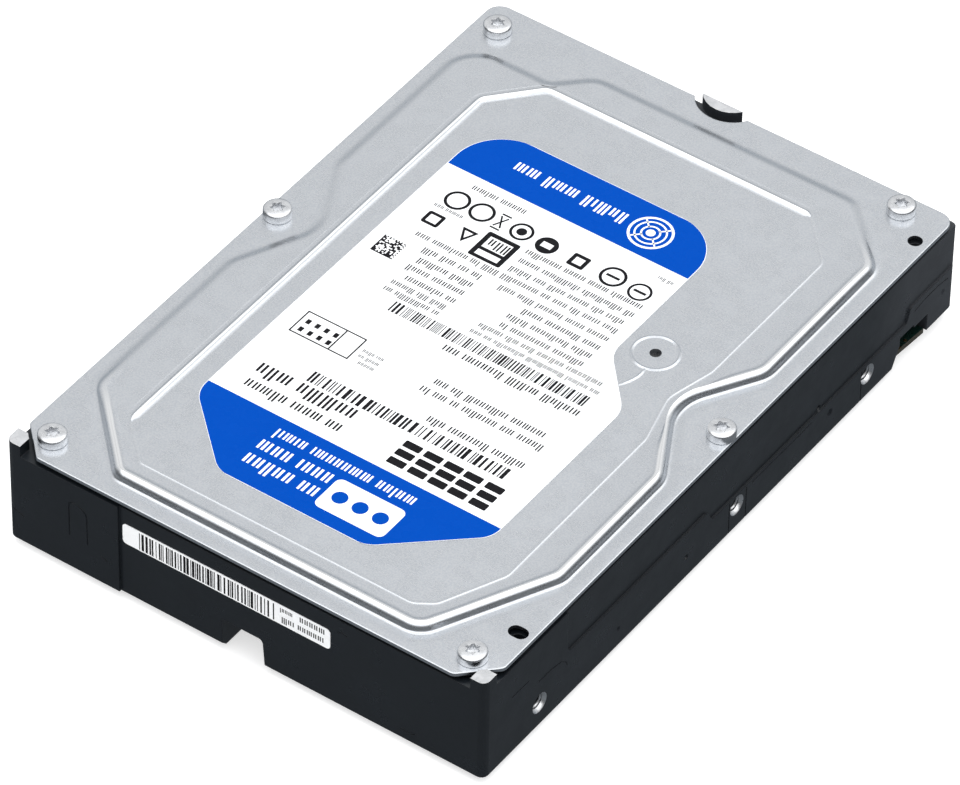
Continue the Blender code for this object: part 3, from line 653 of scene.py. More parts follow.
def cover_outline(inset=0.0):
    """The cover's edge: square at the connector end, clipped round the two posts, notched at the lug."""
    side, rear, front = COVER_SIDE - inset, COVER_REAR - inset, COVER_FRONT + inset
    clip = 0.41 * inset
    edge = outline_of([
        (-side, rear, 3.0),
        (-side, -67.0 + clip, 1.0),
        (-44.3 + clip, front, 1.0),
        (44.3 - clip, front, 1.8),
        (side, -67.0 + clip, 1.8),
        (side, rear, 3.0),
    ], 10)
    turns = [radians(a) for a in np.linspace(327.6, 212.4, 17)]
    notch = [(-0.4 + (6.9 + inset) * cos(a), 76.6 + (6.9 + inset) * sin(a)) for a in turns]
    return edge + [(x, min(y, rear)) for x, y in notch]


def build_cover():
    shape = Shape()
    outer, outer_painted_highlight = outer_rows()
    inner, inner_painted_highlight = inner_rows()
    breather_hole = circle(*BREATHER, 1.1, 24)
    round_hole = circle(47.8, 63.6, 1.4, 24)
    oblong_hole = [
        (middle + 1.4 * cos(a), -58.7 + 1.4 * sin(a))
        for middle, start in ((48.0, -pi / 2), (47.0, pi / 2))
        for a in np.linspace(start, start + pi, 11)
    ]
    painted_highlight_at = {}
    for rows, painted_crest_highlight in ((outer, outer_painted_highlight), (inner, inner_painted_highlight)):
        for row, painted_row_highlight in zip(rows, painted_crest_highlight):
            for point, value in zip(row, painted_row_highlight):
                painted_highlight_at[tuple(round(c, 3) for c in point)] = value
        shape.strips(rows)
    outer_edge = [row[-1][:2] for row in outer]
    outer_inside = [row[0][:2] for row in outer]
    inner_edge = [row[-1][:2] for row in inner]
    inner_inside = [row[0][:2] for row in inner]
    rim = [(0.30, 0.0), (0.16, 0.01), (0.06, 0.06), (0.0, 0.18), (0.0, FLANGE - COVER_BOTTOM)]
    rings = [[(x, y, FLANGE - drop) for x, y in cover_outline(inset)] for inset, drop in rim]
    for upper, lower in zip(rings, rings[1:]):
        shape.wall(lower, upper)
    top = [p[:2] for p in rings[0]]
    holes = [round_hole, oblong_hole]
    shape.flat([top, outer_edge, *holes], FLANGE)
    shape.flat([outer_inside, inner_edge], BAND)
    shape.flat([inner_inside, breather_hole], MIDDLE)
    shape.flat([cover_outline(), *holes, breather_hole], COVER_BOTTOM, up=False)
    for hole, height in ((round_hole, FLANGE), (oblong_hole, FLANGE), (breather_hole, MIDDLE)):
        shape.wall([(x, y, height) for x, y in hole], [(x, y, COVER_BOTTOM) for x, y in hole])
    turns = np.linspace(0, 2 * pi, 49)
    ring = [(BREATHER[0] + 4.3 * cos(a), BREATHER[1] + 4.3 * sin(a)) for a in turns]
    shape.ridge(ring, 0.42, 0.17, MIDDLE, ends=False)
    tail = [
        (28.2, 6.9), (28.45, 6.1), (28.55, 5.2), (28.5, 4.3), (28.25, 3.3), (27.9, 2.3), (27.4, 1.3),
        (26.9, 0.6),
    ]
    shape.ridge(tail, 0.40, 0.17, MIDDLE)
    cover = made("pressed_cover", shape, "cover_steel", crease=40, merge=0.004)
    # The painted crest highlight, stored per point for the cover's material.
    values = cover.data.attributes.new("painted_crest_highlight", "FLOAT", "POINT")
    for i, vertex in enumerate(cover.data.vertices):
        values.data[i].value = painted_highlight_at.get(tuple(round(c / MM, 3) for c in vertex.co), 0.0)
    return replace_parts(cover, "top_cover")


STAR_SIDES = 36


def star_screw(name, node, place, turn, levels, pointing_down=False):
    """A screw from rings of (radius, depth of the six lobes, height), from its shank to its recess."""
    shape = Shape()
    angles = [2 * pi * k / STAR_SIDES for k in range(STAR_SIDES)]
    rings = [
        [((r + d * cos(6 * a)) * cos(a), (r + d * cos(6 * a)) * sin(a), z) for a in angles]
        for r, d, z in levels
    ]
    for first, second in zip(rings, rings[1:]):
        shape.wall(*((second, first) if pointing_down else (first, second)))
    up = tuple(range(STAR_SIDES))
    shape.add(rings[-1], [up[::-1] if pointing_down else up])
    shape.add(rings[0], [up if pointing_down else up[::-1]])
    spin = Matrix.Rotation(turn, 3, "Z")
    shape.points = [tuple(spin @ Vector(p) + Vector((*place, 0))) for p in shape.points]
    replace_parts(made(name, shape, "bright_steel", crease=38), node)


def build_cover_screws():
    """Pan heads with a six-lobed recess."""
    head = [(1.05, 14.0), (1.05, 23.22), (2.62, 23.22), (2.70, 23.30), (2.70, 24.62), (2.67, 24.78),
            (2.58, 24.92), (2.44, 25.03), (2.25, 25.10), (1.95, 25.16), (1.6, 25.20), (1.4, 25.22)]
    recess = [(1.20, 0.24, 25.24), (1.10, 0.23, 25.14), (1.04, 0.22, 24.20), (0.45, 0.0, 24.15)]
    levels = [(r, 0.0, z) for r, z in head] + recess
    for number, (name, place) in enumerate(SCREWS.items()):
        star_screw(f"star_screw_{name}", f"cover_screw_{name}", place, 0.4 + 0.7 * number, levels)


# The casting.

# Degrees beyond which its edges stay sharp.
CASTING_CREASE = 28


def cut_out(body, cutter):
    """Takes the cutter's shape out of the body's mesh."""
    mesh = meshed("cutter", cutter, 0.002)
    reworked(mesh, mesh, lambda work: bmesh.ops.recalc_face_normals(work, faces=work.faces))
    tool = placed("cutter", mesh)
    modifier = body.modifiers.new("cut", "BOOLEAN")
    modifier.operation = "DIFFERENCE"
    modifier.solver = "EXACT"
    modifier.object = tool
    graph = bpy.context.evaluated_depsgraph_get()
    result = bpy.data.meshes.new_from_object(body.evaluated_get(graph))
    body.modifiers.clear()
    body.data = result
    bpy.data.objects.remove(tool)


def groove(cuts, line, width, depth, place):
    """A narrow cutter along a line on a wall; place(a, b, depth) is the point that far under the wall."""
    path = [Vector(p) for p in line]
    left, right = [], []
    for k, point in enumerate(path):
        along = direction(path, k)
        across = Vector((-along.y, along.x)) * width / 2
        left.append(point + across)
        right.append(point - across)
    outline = left + right[::-1]
    count = len(outline)
    points = [place(p.x, p.y, depth) for p in outline] + [place(p.x, p.y, -0.5) for p in outline]
    faces = [tuple(range(count)), tuple(reversed(range(count, 2 * count)))]
    turns = [(k, (k + 1) % count) for k in range(count)]
    faces += [(here, there, count + there, count + here) for here, there in turns]
    cuts.add(points, faces)


def surface_marks():
    """Cutters for the parting seams, the cast lines and the small sinks and ejector marks of the walls."""
    cuts = Shape()
    side = HALF_WIDTH
    for y in (1.0, 6.3, 43.0):
        cuts.block(side - 0.16, side + 1, y - 0.13, y + 0.13, -1, 8.5)
        cuts.block(-side - 1, -side + 0.16, y - 0.13, y + 0.13, -1, 8.5)
    marks = [((-12.3, 6.0), 0.6, 0.35), ((29.5, 9.6), 0.75, 0.8), ((32.8, 6.3), 0.85, 0.3),
             ((69.5, 8.2), 0.7, 0.22), ((-33.0, 5.2), 0.5, 0.2)]
    sides = 20
    for sign in (1, -1):
        for (y, z), radius, depth in marks:
            levels = [(side - depth, radius * 0.6), (side, radius), (side + 1, radius)]
            rings = [[(sign * x, p, q) for p, q in circle(y, z, r, sides)] for x, r in levels]
            if sign < 0:
                rings.reverse()
            for lower, upper in zip(rings, rings[1:]):
                cuts.wall(lower, upper)
            cuts.add(rings[0], [tuple(reversed(range(sides)))])
            cuts.add(rings[-1], [tuple(range(sides))])
    hoop = [(-37.2, 8.8), (-37.2, 15.5), (-37.1, 16.6), (-36.5, 17.1), (-35.5, 17.0), (-34.2, 16.4),
            (-33.5, 15.7), (-33.3, 14.8), (-33.3, 8.6)]
    short_step = [(-50.0, 8.3), (-48.6, 7.9), (-47.4, 7.3)]
    for line, width in ((hoop, 0.26), (short_step, 0.3), ([(-30.4, 7.6), (-29.0, 6.9)], 0.25)):
        groove(cuts, line, width, 0.12, lambda x, z, depth: (x, FRONT_BLOCK + depth, z))
    for line in ([(20.2, 18.6), (21.0, 18.9), (22.2, 18.5)], [(33.5, 3.2), (36.0, 3.2), (36.4, 3.6)]):
        groove(cuts, line, 0.25, 0.10, lambda x, z, depth: (x, FRONT_WALL + depth, z))
    lines = [
        [(-65.0, 14.6), (-60.0, 14.5)],
        [(-57.0, 11.9), (-53.0, 11.8), (-50.2, 11.2), (-48.9, 10.0), (-48.5, 9.0)],
        [(60.0, 10.4), (63.0, 10.9), (68.0, 10.9), (71.0, 10.4)],
        [(8.0, 8.3), (14.0, 8.3), (24.0, 8.2), (27.0, 8.3)],
    ]
    for line in lines:
        groove(cuts, line, 0.25, 0.10, lambda y, z, depth: (side - depth, y, z))
        groove(cuts, line, 0.25, 0.10, lambda y, z, depth: (depth - side, y, z))
    return cuts


def is_machined(centre, normal):
    """True for faces cut after coating: the tops of the posts and the lug, and the holes' chamfers."""
    x, y, z = centre
    if z > LUG_TOP - 0.1 and normal.z > 0.9:
        return True
    by_side_hole = any(hypot(y - hole, z - SIDE_HOLE_Z) < 2.3 for hole in SIDE_HOLE_Y)
    if 50.1 < abs(x) < 50.79 and by_side_hole and 0.2 < abs(normal.x) < 0.95:
        return True
    by_under_hole = any(hypot(abs(x) - UNDER_HOLE_X, y - hole) < 2.1 for hole in UNDER_HOLE_Y)
    return 0.02 < z < 0.7 and by_under_hole and 0.2 < abs(normal.z) < 0.95


def build_casting():
    mesh = bpy.data.meshes.new("cast_body")
    reworked(frame["nodes"]["base_casting"].data, mesh, merged(0.002))
    body = placed("cast_body", mesh)
    cut_out(body, surface_marks())
    mesh = body.data
    mesh.materials.clear()
    mesh.materials.append(FINISH["body_black"])
    mesh.materials.append(FINISH["bare_aluminium"])
    mesh.shade_smooth()
    mesh.set_sharp_from_angle(angle=radians(CASTING_CREASE))
    for face in mesh.polygons:
        face.material_index = 1 if is_machined(face.center / MM, face.normal) else 0
        face.use_smooth = max(abs(c) for c in face.normal) < SQUARE_ON
    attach(body, "root")
    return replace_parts(body, "base_casting")


def thread(shape, mouth, inward, turns=6, pitch=0.794):
    """The ridges of a screw thread along the inside of a bore."""
    inward = Vector(inward)
    across = Vector((0, 0, 1)) if abs(inward.z) < 0.5 else Vector((1, 0, 0))
    other = inward.cross(across)
    sides = 20
    rows = []
    for k in range(turns * sides + 1):
        angle = 2 * pi * k / sides
        spoke = across * cos(angle) + other * sin(angle)
        depth = 0.75 + pitch * k / sides
        rows.append([
            Vector(mouth) + inward * (depth + shift * pitch) + spoke * radius
            for shift, radius in ((-0.36, THREAD_RADIUS - 0.01), (0.0, 1.24), (0.36, THREAD_RADIUS - 0.01))
        ])
    shape.strips(rows, False)


def build_threads():
    shape = Shape()
    for sign in (1, -1):
        for y in SIDE_HOLE_Y:
            thread(shape, (sign * HALF_WIDTH, y, SIDE_HOLE_Z), (-sign, 0, 0), 4)
        for y in UNDER_HOLE_Y:
            thread(shape, (sign * UNDER_HOLE_X, y, 0), (0, 0, 1), 3)
    made("mounting_threads", shape, "bare_aluminium", crease=30)


def upright(shape, y):
    """Turns a shape made lying flat so that its top faces the front, at that y."""
    shape.points = [(x, y - z, h) for x, h, z in shape.points]


# Label and sticker. All marks are plain bars, blocks and simple signs.


class Print(Shape):
    """Ink on a sheet that lies flat: thin slabs whose tops are all at one height."""

    def __init__(self, z, thickness=0.02):
        super().__init__()
        self.z = z
        self.low = z - thickness

    def patch(self, outline, holes=()):
        self.slab(outline, self.low, self.z, holes)

    def bar(self, x0, x1, y0, y1, radius=0.0):
        self.patch(rectangle(min(x0, x1), max(x0, x1), min(y0, y1), max(y0, y1), radius))

    def ring(self, x, y, radius, width):
        self.patch(circle(x, y, radius, 32), [circle(x, y, radius - width, 32)])

    def words(self, x_low, x_high, y, height, seed):
        """A line of greeked text: clusters of fine strokes of uneven height, read from the high x end."""
        pick = random.Random(seed)
        x = x_high
        base = y + height / 2
        stroke = height * 0.15
        while x > x_low + height:
            for _ in range(pick.randint(2, 8)):
                tall = height * pick.choice((0.72, 0.72, 0.72, 1.0))
                for _ in range(pick.choice((1, 2, 2, 2, 3))):
                    if x - stroke < x_low:
                        return
                    self.bar(x - stroke, x, base - tall, base)
                    x -= stroke * 1.85
                x -= stroke * 0.55
            x -= height * 0.36

    def barcode(self, x_low, x_high, y0, y1, module, seed):
        pick = random.Random(seed)
        x = x_low
        while x < x_high - module * 3:
            wide = module * pick.choice((1, 1, 1, 2, 2, 3))
            self.bar(x, x + wide, y0, y1)
            x += wide + module * pick.choice((1, 1, 2, 2, 3))

    def code_square(self, x, y, size, cells, seed):
        """A chequered square of random cells inside an L-shaped edge."""
        pick = random.Random(seed)
        step = size / cells
        for row in range(cells):
            for column in range(cells):
                edge = row == 0 or column == 0
                dotted = (row == cells - 1 and column % 2 == 0) or (column == cells - 1 and row % 2 == 0)
                if edge or dotted or (row < cells - 1 and column < cells - 1 and pick.random() < 0.48):
                    self.bar(x + column * step, x + (column + 1) * step, y + row * step, y + (row + 1) * step)


LABEL_CORNERS = [
    (-31.4, -44.3, 6.0), (-16.5, -58.1, 6.0), (15.0, -58.1, 6.0), (31.4, -43.5, 5.0), (31.4, -4.5, 6.0),
    (21.5, 6.5, 6.0), (21.5, 43.0, 10.0), (-31.0, 43.0, 10.0),
]


def between(outline, y_low, y_high):
    """The part of an outline whose points lie between two heights, closed straight across."""
    kept = []
    count = len(outline)
    for i, (x0, y0) in enumerate(outline):
        x1, y1 = outline[(i + 1) % count]
        if y_low <= y0 <= y_high:
            kept.append((x0, y0))
        for level in (y_low, y_high) if y0 < y1 else (y_high, y_low):
            if (y0 - level) * (y1 - level) < 0:
                kept.append((x0 + (x1 - x0) * (level - y0) / (y1 - y0), level))
    return kept


def build_label():
    film = Shape()
    film.slab(outline_of(LABEL_CORNERS, 6), MIDDLE - 0.01, LABEL_TOP)
    sheet = made("label_film", film, "label_paper")
    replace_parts(sheet, "drive_label")
    inset = [(x - 0.12 * (1 if x > 0 else -1), y, r) for x, y, r in LABEL_CORNERS]
    edge = [(x, min(max(y, -58.0), 42.9)) for x, y in outline_of(inset, 6)]
    blue = Print(LABEL_TOP + 0.012)
    blue.patch(between(edge, 30.2, 43.0))
    blue.patch(between(edge, -58.1, -41.0))
    made("label_blue_bands", blue, "label_paper", INK_BLUE)

    white = Print(LABEL_TOP + 0.024)
    emblem = Vector((9.2, 36.3))
    for radius, width in ((4.3, 0.5), (3.1, 0.35), (1.9, 0.35)):
        white.ring(9.2, 36.3, radius, width)
    white.patch(circle(9.2, 36.3, 0.9, 20))
    for turn in range(4):
        a = pi / 4 + turn * pi / 2
        tip = Vector((cos(a), sin(a)))
        side = Vector((-tip.y, tip.x)) * 0.16
        corners = ((1.5, -1), (3.9, -1), (3.9, 1), (1.5, 1))
        white.patch([tuple(emblem + tip * reach + side * edge) for reach, edge in corners])
    white.words(-21.5, 3.4, 36.5, 3.0, 11)
    white.words(-14.3, 15.5, -44.8, 2.6, 12)
    white.words(-15.8, 0.6, -48.9, 3.3, 13)
    white.words(-15.8, 0.6, -53.0, 3.3, 14)
    white.patch(rectangle(1.6, 16.2, -55.2, -47.2, 1.3))
    made("label_white_print", white, "label_paper", INK_WHITE)

    sign = Print(LABEL_TOP + 0.036)
    for x in (4.6, 8.9, 13.2):
        sign.patch(circle(x, -51.2, 1.5, 24))
    made("label_panel_dots", sign, "label_paper", INK_BLUE)

    ink = Print(LABEL_TOP + 0.012)
    lines = [
        (-23.5, -12.0, 27.3, 1.6), (-26.5, -20.3, 19.6, 1.1), (-6.0, 19.0, 19.0, 1.6),
        (-6.0, 19.0, 16.4, 1.6), (-6.0, 18.6, 13.8, 1.6), (-25.0, 19.0, 11.3, 1.6),
        (-21.0, -8.5, 8.6, 1.7), (-21.0, -8.5, 5.9, 1.7), (-21.0, -8.5, 3.3, 1.7),
        (-21.0, -8.5, 0.7, 1.7), (-5.5, 19.0, 8.6, 1.6), (1.0, 19.0, 5.9, 1.7),
        (1.0, 19.0, 3.3, 1.7), (1.0, 19.0, 0.7, 1.7), (-21.0, -9.0, -1.5, 1.5),
        (-21.0, -9.0, -3.6, 1.5), (-2.0, 24.6, -1.5, 1.5), (-2.0, 25.5, -3.6, 1.3),
        (-3.4, 25.6, -10.0, 2.1), (-14.3, -9.7, -19.0, 1.0), (-14.3, -9.7, -20.5, 1.0),
        (-14.3, -9.7, -22.0, 1.0), (0.5, 24.0, -18.0, 1.9), (-0.7, 25.5, -20.8, 1.9),
        (4.7, 25.5, -26.4, 2.0), (-27.3, -5.6, -33.4, 3.4), (-26.3, -5.6, -37.6, 2.6),
        (16.8, 20.0, 27.4, 1.0),
    ]
    for seed, (x0, x1, y, height) in enumerate(lines):
        ink.words(x0, x1, y, height, 40 + seed)
    ink.barcode(-16.8, 25.6, -7.9, -5.1, 0.17, 5)
    ink.barcode(-17.6, 25.5, -31.0, -28.1, 0.25, 6)
    ink.code_square(-28.7, 3.2, 4.8, 16, 7)
    # A row of plain signs: rings, discs, a frame and a few strokes.
    ink.ring(-9.5, 22.9, 2.3, 0.55)
    ink.patch(circle(-9.5, 22.9, 1.0, 20))
    ink.patch(circle(-3.8, 22.6, 2.2, 28), [rectangle(-4.9, -2.7, 21.9, 23.3)])
    ink.patch(rectangle(1.4, 4.9, 20.8, 24.2, 0.4), [rectangle(2.2, 4.1, 21.6, 23.4)])
    ink.ring(10.4, 22.8, 2.6, 0.6)
    ink.bar(9.0, 11.8, 22.5, 23.1)
    ink.ring(16.5, 22.3, 2.3, 0.5)
    ink.bar(15.2, 17.8, 22.0, 22.6)
    ink.ring(-23.6, 22.9, 2.5, 0.6)
    ink.ring(-18.2, 22.9, 2.5, 0.6)
    ink.bar(-15.0, -13.0, 20.6, 21.0)
    ink.bar(-15.0, -13.0, 24.6, 25.0)
    ink.patch([(-14.9, 24.2), (-14.6, 24.4), (-13.1, 21.4), (-13.4, 21.2)])
    ink.patch([(-14.9, 21.4), (-14.6, 21.2), (-13.1, 24.2), (-13.4, 24.4)])
    ink.patch(rectangle(-26.0, -22.4, 14.6, 18.0, 0.5), [rectangle(-25.3, -23.1, 15.3, 17.3)])
    inside = [(-17.9, 17.3), (-17.0, 15.5), (-16.1, 17.3)]
    ink.patch([(-18.7, 17.9), (-17.0, 14.3), (-15.3, 17.9)], [inside])
    windows = [rectangle(-13.2, -8.3, 15.6, 18.7), rectangle(-13.2, -8.3, 13.4, 14.8)]
    ink.patch(rectangle(-14.2, -7.3, 12.6, 19.7, 0.4), windows)
    ink.words(-12.9, -8.5, 17.1, 2.4, 81)
    # A framed table of terminals.
    windows = [rectangle(-27.5, -19.4, -22.1, -16.5), rectangle(-19.1, -15.3, -22.1, -16.5)]
    ink.patch(rectangle(-27.8, -15.0, -22.4, -16.2), windows)
    for column in range(4):
        x = -26.6 + 2.0 * column
        for y in (-20.9, -18.6):
            ink.bar(x, x + 0.9, y - 0.6, y + 0.6)
    # Five heavy blocks of stacked bars.
    for k, low in enumerate((22.9, 18.4, 14.2, 9.9, 5.5)):
        for level in range(3):
            ink.bar(low, low + 3.6, -39.2 + 2.4 * level, -37.5 + 2.4 * level, 0.3)
    made("label_black_print", ink, "label_paper", INK_BLACK)


def build_sticker():
    sheet = Shape()
    sheet.slab(rectangle(-25.8, 18.6, 13.4, 18.0, 0.8), 0.0, 0.12)
    upright(sheet, FRONT_WALL)
    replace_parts(made("bar_sticker", sheet, "label_paper"), "barcode_sticker")
    ink = Print(0.14)
    ink.barcode(-22.2, 6.2, 13.7, 17.6, 0.17, 21)
    ink.patch(rectangle(6.5, 6.75, 13.7, 17.6))
    lines = [(8.0, 10.6, 16.8, 1.1), (11.4, 17.4, 16.7, 1.6), (8.2, 17.2, 14.6, 1.5)]
    for k, (x0, x1, y, height) in enumerate(lines):
        ink.words(x0, x1, y, height, 60 + k)
    upright(ink, FRONT_WALL)
    made("bar_sticker_print", ink, "label_paper", INK_BLACK)


# Board, connectors and the rest of the underside.

BOARD_BOTTOM = 1.7
BOARD_TOP = 2.9
BOARD_SCREW_NAMES = ("front_left", "front_right", "rear_left", "rear_right", "middle")


def centre_of(node):
    low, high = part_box(node)
    middle = (low + high) / 2 / MM
    return middle.x, middle.y


def build_board_screws():
    for number, name in enumerate(BOARD_SCREW_NAMES):
        node = f"board_screw_{name}"
        low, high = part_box(node)
        bottom, top = low.z / MM, high.z / MM
        head = [(1.0, top), (1.0, 1.7), (2.4, 1.69), (2.4, bottom + 0.62), (2.3, bottom + 0.38),
                (2.05, bottom + 0.15), (1.75, bottom + 0.03), (1.5, bottom)]
        recess = [(1.02, 0.14, bottom), (0.96, 0.13, bottom + 0.08), (0.90, 0.12, bottom + 0.75)]
        levels = [(r, 0.0, z) for r, z in head] + recess
        star_screw(f"board_star_screw_{name}", node, centre_of(node), 0.3 + number, levels, True)


def track(shape, path, width, low, high):
    """A flat raised strip along a path of points."""
    left, right = [], []
    for i, (x, y) in enumerate(path):
        along = direction(path, i)
        side = Vector((-along.y, along.x)) * width / 2
        left.append((x + side.x, y + side.y))
        right.append((x - side.x, y - side.y))
    rows = [[(*l, high), (*l, low), (*r, low), (*r, high)] for l, r in zip(left, right)]
    shape.strips(rows, False)


def build_board_details():
    """The soldered side: rings round the screws, test pads, vias and bundles of covered tracks."""
    pads = Shape()

    def pad(outline, holes=(), thickness=0.03):
        pads.slab(outline, BOARD_BOTTOM - thickness, BOARD_BOTTOM, holes)

    screws = [centre_of(f"board_screw_{name}") for name in BOARD_SCREW_NAMES]
    for x, y in screws:
        pad(circle(x, y, 3.3, 32), [circle(x, y, 1.6, 32)])
    pick = random.Random(3)
    rows = [
        (-36, 20, 9, 1.9), (-34, 44, 7, 2.3), (10, 8, 8, 2.1), (24, 24, 6, 2.4), (-22, 56, 10, 1.9),
        (14, 60, 12, 1.7),
    ]
    for x0, y, count, pitch in rows:
        for k in range(count):
            pad(circle(x0 + k * pitch, y, 0.55, 16))
    for left, right, count in ((18.36, 19.0, 15), (4.6, 5.24, 7)):
        for k in range(count):
            pad(rectangle(left + 1.27 * k, right + 1.27 * k, 64.6, 66.6, 0.2))
    for column in range(4):
        for y in (64.4, 66.6):
            x = -13.0 + 2.0 * column
            pad(circle(x, y, 0.7, 20), [circle(x, y, 0.33, 12)])
    for _ in range(90):
        x, y = pick.uniform(-41, 41), pick.uniform(2, 61)
        if all(hypot(x - a, y - b) > 4.2 for a, b in screws):
            pad(circle(x, y, 0.27, 10), thickness=0.035)
    for k, reach in enumerate((46.6, 47.9, 49.2)):
        y = 55.6 + 0.5 * k
        pads.slab(rectangle(reach, reach + 0.8, y, y + 1.2, 0.15), BOARD_TOP, BOARD_TOP + 0.03)
        pads.slab(circle(reach + 0.3, 59.6, 0.35, 16), BOARD_TOP, BOARD_TOP + 0.03)
    made("board_pads_and_vias", pads, "board_laminate", GOLD)

    tracks = Shape()
    bundles = [
        (4.9, 63.5, 1.27, 7, 5.2, 33.5, 1.0), (18.7, 63.5, 1.27, 14, 26.0, 47.0, 0.62),
        (-32, 42.0, 1.1, 8, -27, 22, 1.6), (3.0, 16.5, 1.3, 10, -6.0, 3.0, 1.1),
        (-12, 15.0, 0.0, 1, 2.0, 19.0, 1.0), (-20, 54.5, 1.9, 9, -9, 42.0, 0.8),
        (-38, 18.0, 1.2, 6, -34, 4.0, 1.2), (26, 34.5, 0.8, 6, 30.5, 12.0, 1.2),
    ]
    for x0, y0, pitch, count, x1, y1, end_pitch in bundles:
        for k in range(count):
            a, b = x0 + pitch * k, x1 + end_pitch * k
            slant = abs(b - a)
            middle = y0 - 1.5 - 0.45 * k
            path = [(a, y0), (a, middle), (b, middle - slant * (1 if y1 < y0 else -1)), (b, y1)]
            if all(hypot(p - u, q - v) > 4.0 for p, q in path for u, v in screws):
                track(tracks, path, 0.32, BOARD_BOTTOM - 0.022, BOARD_BOTTOM + 0.01)
    flipped = Shape()
    points = [(x, y, 2 * BOARD_BOTTOM - z) for x, y, z in tracks.points]
    flipped.add(points, [tuple(reversed(face)) for face in tracks.faces])
    made("board_tracks", flipped, "board_laminate", BOARD_TRACK, 60)


def build_contacts():
    """Gold fingers under the two blades of the connector, and its moulded grip ribs."""
    fingers = Shape()
    for first, count, short in ((4.49, 7, (1, 4)), (18.26, 15, (3, 4, 10))):
        for k in range(count):
            x = first + 1.27 * k
            tip = 72.5 if k not in short else 72.0
            fingers.slab(rectangle(x, x + 0.82, 68.7, tip, 0.15), 4.23, 4.31)
            fingers.slab(rectangle(x + 0.1, x + 0.72, 65.9, 68.6), 2.92, 3.25)
    made("connector_contacts", fingers, "bright_steel", GOLD)
    grip = Shape()
    for x in (-0.3, 0.3, 41.0, 41.6):
        grip.block(x - 0.12, x + 0.12, 69.0, 73.15, 7.78, 7.86)
    grip.block(14.6, 17.0, 65.9, 68.55, 7.78, 7.95)
    made("connector_ribs", grip, "black_plastic")


# Putting the object together.

build_cover()
build_cover_screws()
build_casting()
build_threads()
build_label()
build_sticker()
build_board_screws()
build_board_details()
build_contacts()

slot_of = {part["node"]: part["material_slot"] for part in frame["record"]["subparts"]}
for name, node in frame["nodes"].items():
    node.data.materials.clear()
    node.data.materials.append(FINISH[slot_of[name]])
frame["nodes"]["jumper_header"].data.materials[0] = header_blocks()


# Floor, light and camera.

# Brightness of the surroundings from straight below (-1) to overhead (1), by the sine of the height:
# first behind the object on its left, where a big grey card stands, then on the side facing it.
CARD_SIDE = [
    (-1.0, 0.16), (-0.7, 0.20), (-0.25, 0.25), (0.0, 0.50), (0.30, 0.75), (0.53, 0.86), (0.63, 0.85),
    (0.73, 0.66), (0.85, 0.72), (1.0, 0.95),
]
DARK_SIDE = [
    (-1.0, 0.16), (-0.7, 0.20), (-0.25, 0.20), (0.0, 0.12), (0.25, 0.14), (0.5, 0.30), (0.7, 0.55),
    (0.85, 0.80), (1.0, 0.95),
]
LAMP_LEVEL = 1.8
LAMP_DIRECTION = (0.554, -0.353, 0.755)
CARD_DIRECTION = (-0.57, 0.82, 0.0)
FLOOR_GLOW = 0.60


def build_floor():
    mesh = bpy.data.meshes.new("studio_floor")
    reach = 6.0
    mesh.from_pydata([(x, y, 0) for x, y in rectangle(-reach, reach, -reach, reach)], [], [(0, 1, 2, 3)])
    floor = placed("studio_floor", mesh)
    floor.location.z = -0.0004
    floor.visible_glossy = False
    s = Shader("pale_floor", Roughness=0.7, Specular_IOR_Level=0.1)
    s.surface.inputs["Emission Color"].default_value = (1, 1, 1, 1)
    s.surface.inputs["Emission Strength"].default_value = FLOOR_GLOW
    mesh.materials.append(s.done(s.mix(s.noise(900, 2), (0.60, 0.60, 0.605), (0.62, 0.62, 0.62))))


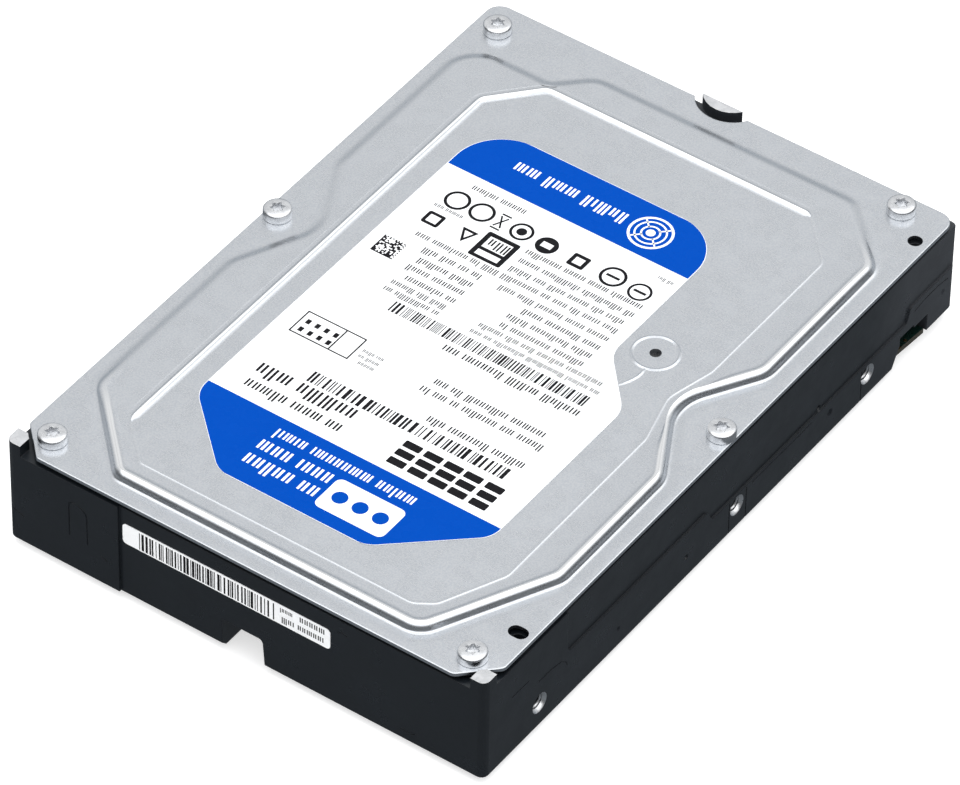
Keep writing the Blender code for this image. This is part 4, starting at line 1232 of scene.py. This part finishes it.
def build_sky():
    world = bpy.data.worlds.new("studio")
    bpy.context.scene.world = world
    world.use_nodes = True
    sky = Nodes(world.node_tree)
    brightest = 2.0
    way = sky.new("TexCoord").outputs["Generated"]
    height = sky.part(way, 2)
    upward = sky.math("MULTIPLY_ADD", height, 0.5, 0.5)

    def toward(direction):
        node = sky.new("VectorMath", operation="DOT_PRODUCT")
        node.inputs[1].default_value = direction
        sky.join(way, node.inputs[0])
        return node.outputs["Value"]

    def gradient(levels):
        ramp = sky.new("ValToRGB")
        stops = ramp.color_ramp.elements
        while len(stops) < len(levels):
            stops.new(0.5)
        for stop, (sine, value) in zip(stops, levels):
            stop.position = (sine + 1) / 2
            share = value / brightest
            warm = 0.98 if sine > 0 else 0.84
            stop.color = (share * warm, share * (1 + warm) / 2, share, 1.0)
        sky.join(upward, ramp.inputs[0])
        return ramp.outputs[0]

    around = sky.mix(sky.remap(toward(CARD_DIRECTION), 0.15, 0.55), gradient(DARK_SIDE), gradient(CARD_SIDE))
    # A broad soft lamp high on the camera's right, weaker straight overhead.
    near_lamp = sky.remap(toward(LAMP_DIRECTION), 0.18, 0.38)
    high_up = sky.remap(height, 0.42, 0.66)
    overhead = sky.remap(height, 0.94, 0.985, 1.0, 0.35)
    lamp = sky.math("MULTIPLY", sky.math("MULTIPLY", near_lamp, high_up), overhead)
    level = LAMP_LEVEL / brightest
    lit = sky.mix(lamp, around, (level * 0.99, level * 0.995, level))
    # The camera sees a plain white backdrop; reflections and light come from the gradient.
    seen = sky.new("LightPath").outputs["Is Camera Ray"]
    background = sky.tree.nodes["Background"]
    sky.join(sky.mix(seen, lit, (1 / brightest,) * 3), background.inputs["Color"])
    background.inputs["Strength"].default_value = brightest


def build_softbox():
    light = bpy.data.lights.new("overhead_softbox", "AREA")
    light.shape = "RECTANGLE"
    light.size = 0.9
    light.size_y = 0.7
    light.energy = 6.0
    lamp = placed("overhead_softbox", light)
    lamp.location = (-0.15, 0.1, 1.1)
    lamp.visible_glossy = False
    lamp.rotation_euler = (-lamp.location).to_track_quat("-Z", "Y").to_euler()


def build_camera():
    a, e, roll = radians(CAMERA_AZIMUTH), radians(CAMERA_ELEVATION), radians(CAMERA_ROLL)
    back = Vector((sin(a) * cos(e), -cos(a) * cos(e), sin(e)))
    right = (-back).cross(Vector((0, 0, 1))).normalized()
    down = (-back).cross(right)
    across = right * cos(roll) + down * sin(roll)
    lower = down * cos(roll) - right * sin(roll)
    place = back * CAMERA_DISTANCE + across * CAMERA_SHIFT[0] + lower * CAMERA_SHIFT[1]
    data = bpy.data.cameras.new("camera")
    data.sensor_width = SENSOR_WIDTH
    data.lens = FOCAL_PIXELS / IMAGE_WIDTH * SENSOR_WIDTH
    data.clip_start, data.clip_end = 0.05, 50
    camera = placed("camera", data)
    turn = Matrix((across, -lower, back)).transposed().to_4x4()
    camera.matrix_world = Matrix.Translation(place * MM) @ turn
    bpy.context.scene.camera = camera


build_floor()
build_sky()
build_softbox()
build_camera()
bpy.context.scene.view_settings.view_transform = "Standard"
bpy.context.scene.view_settings.look = "None"
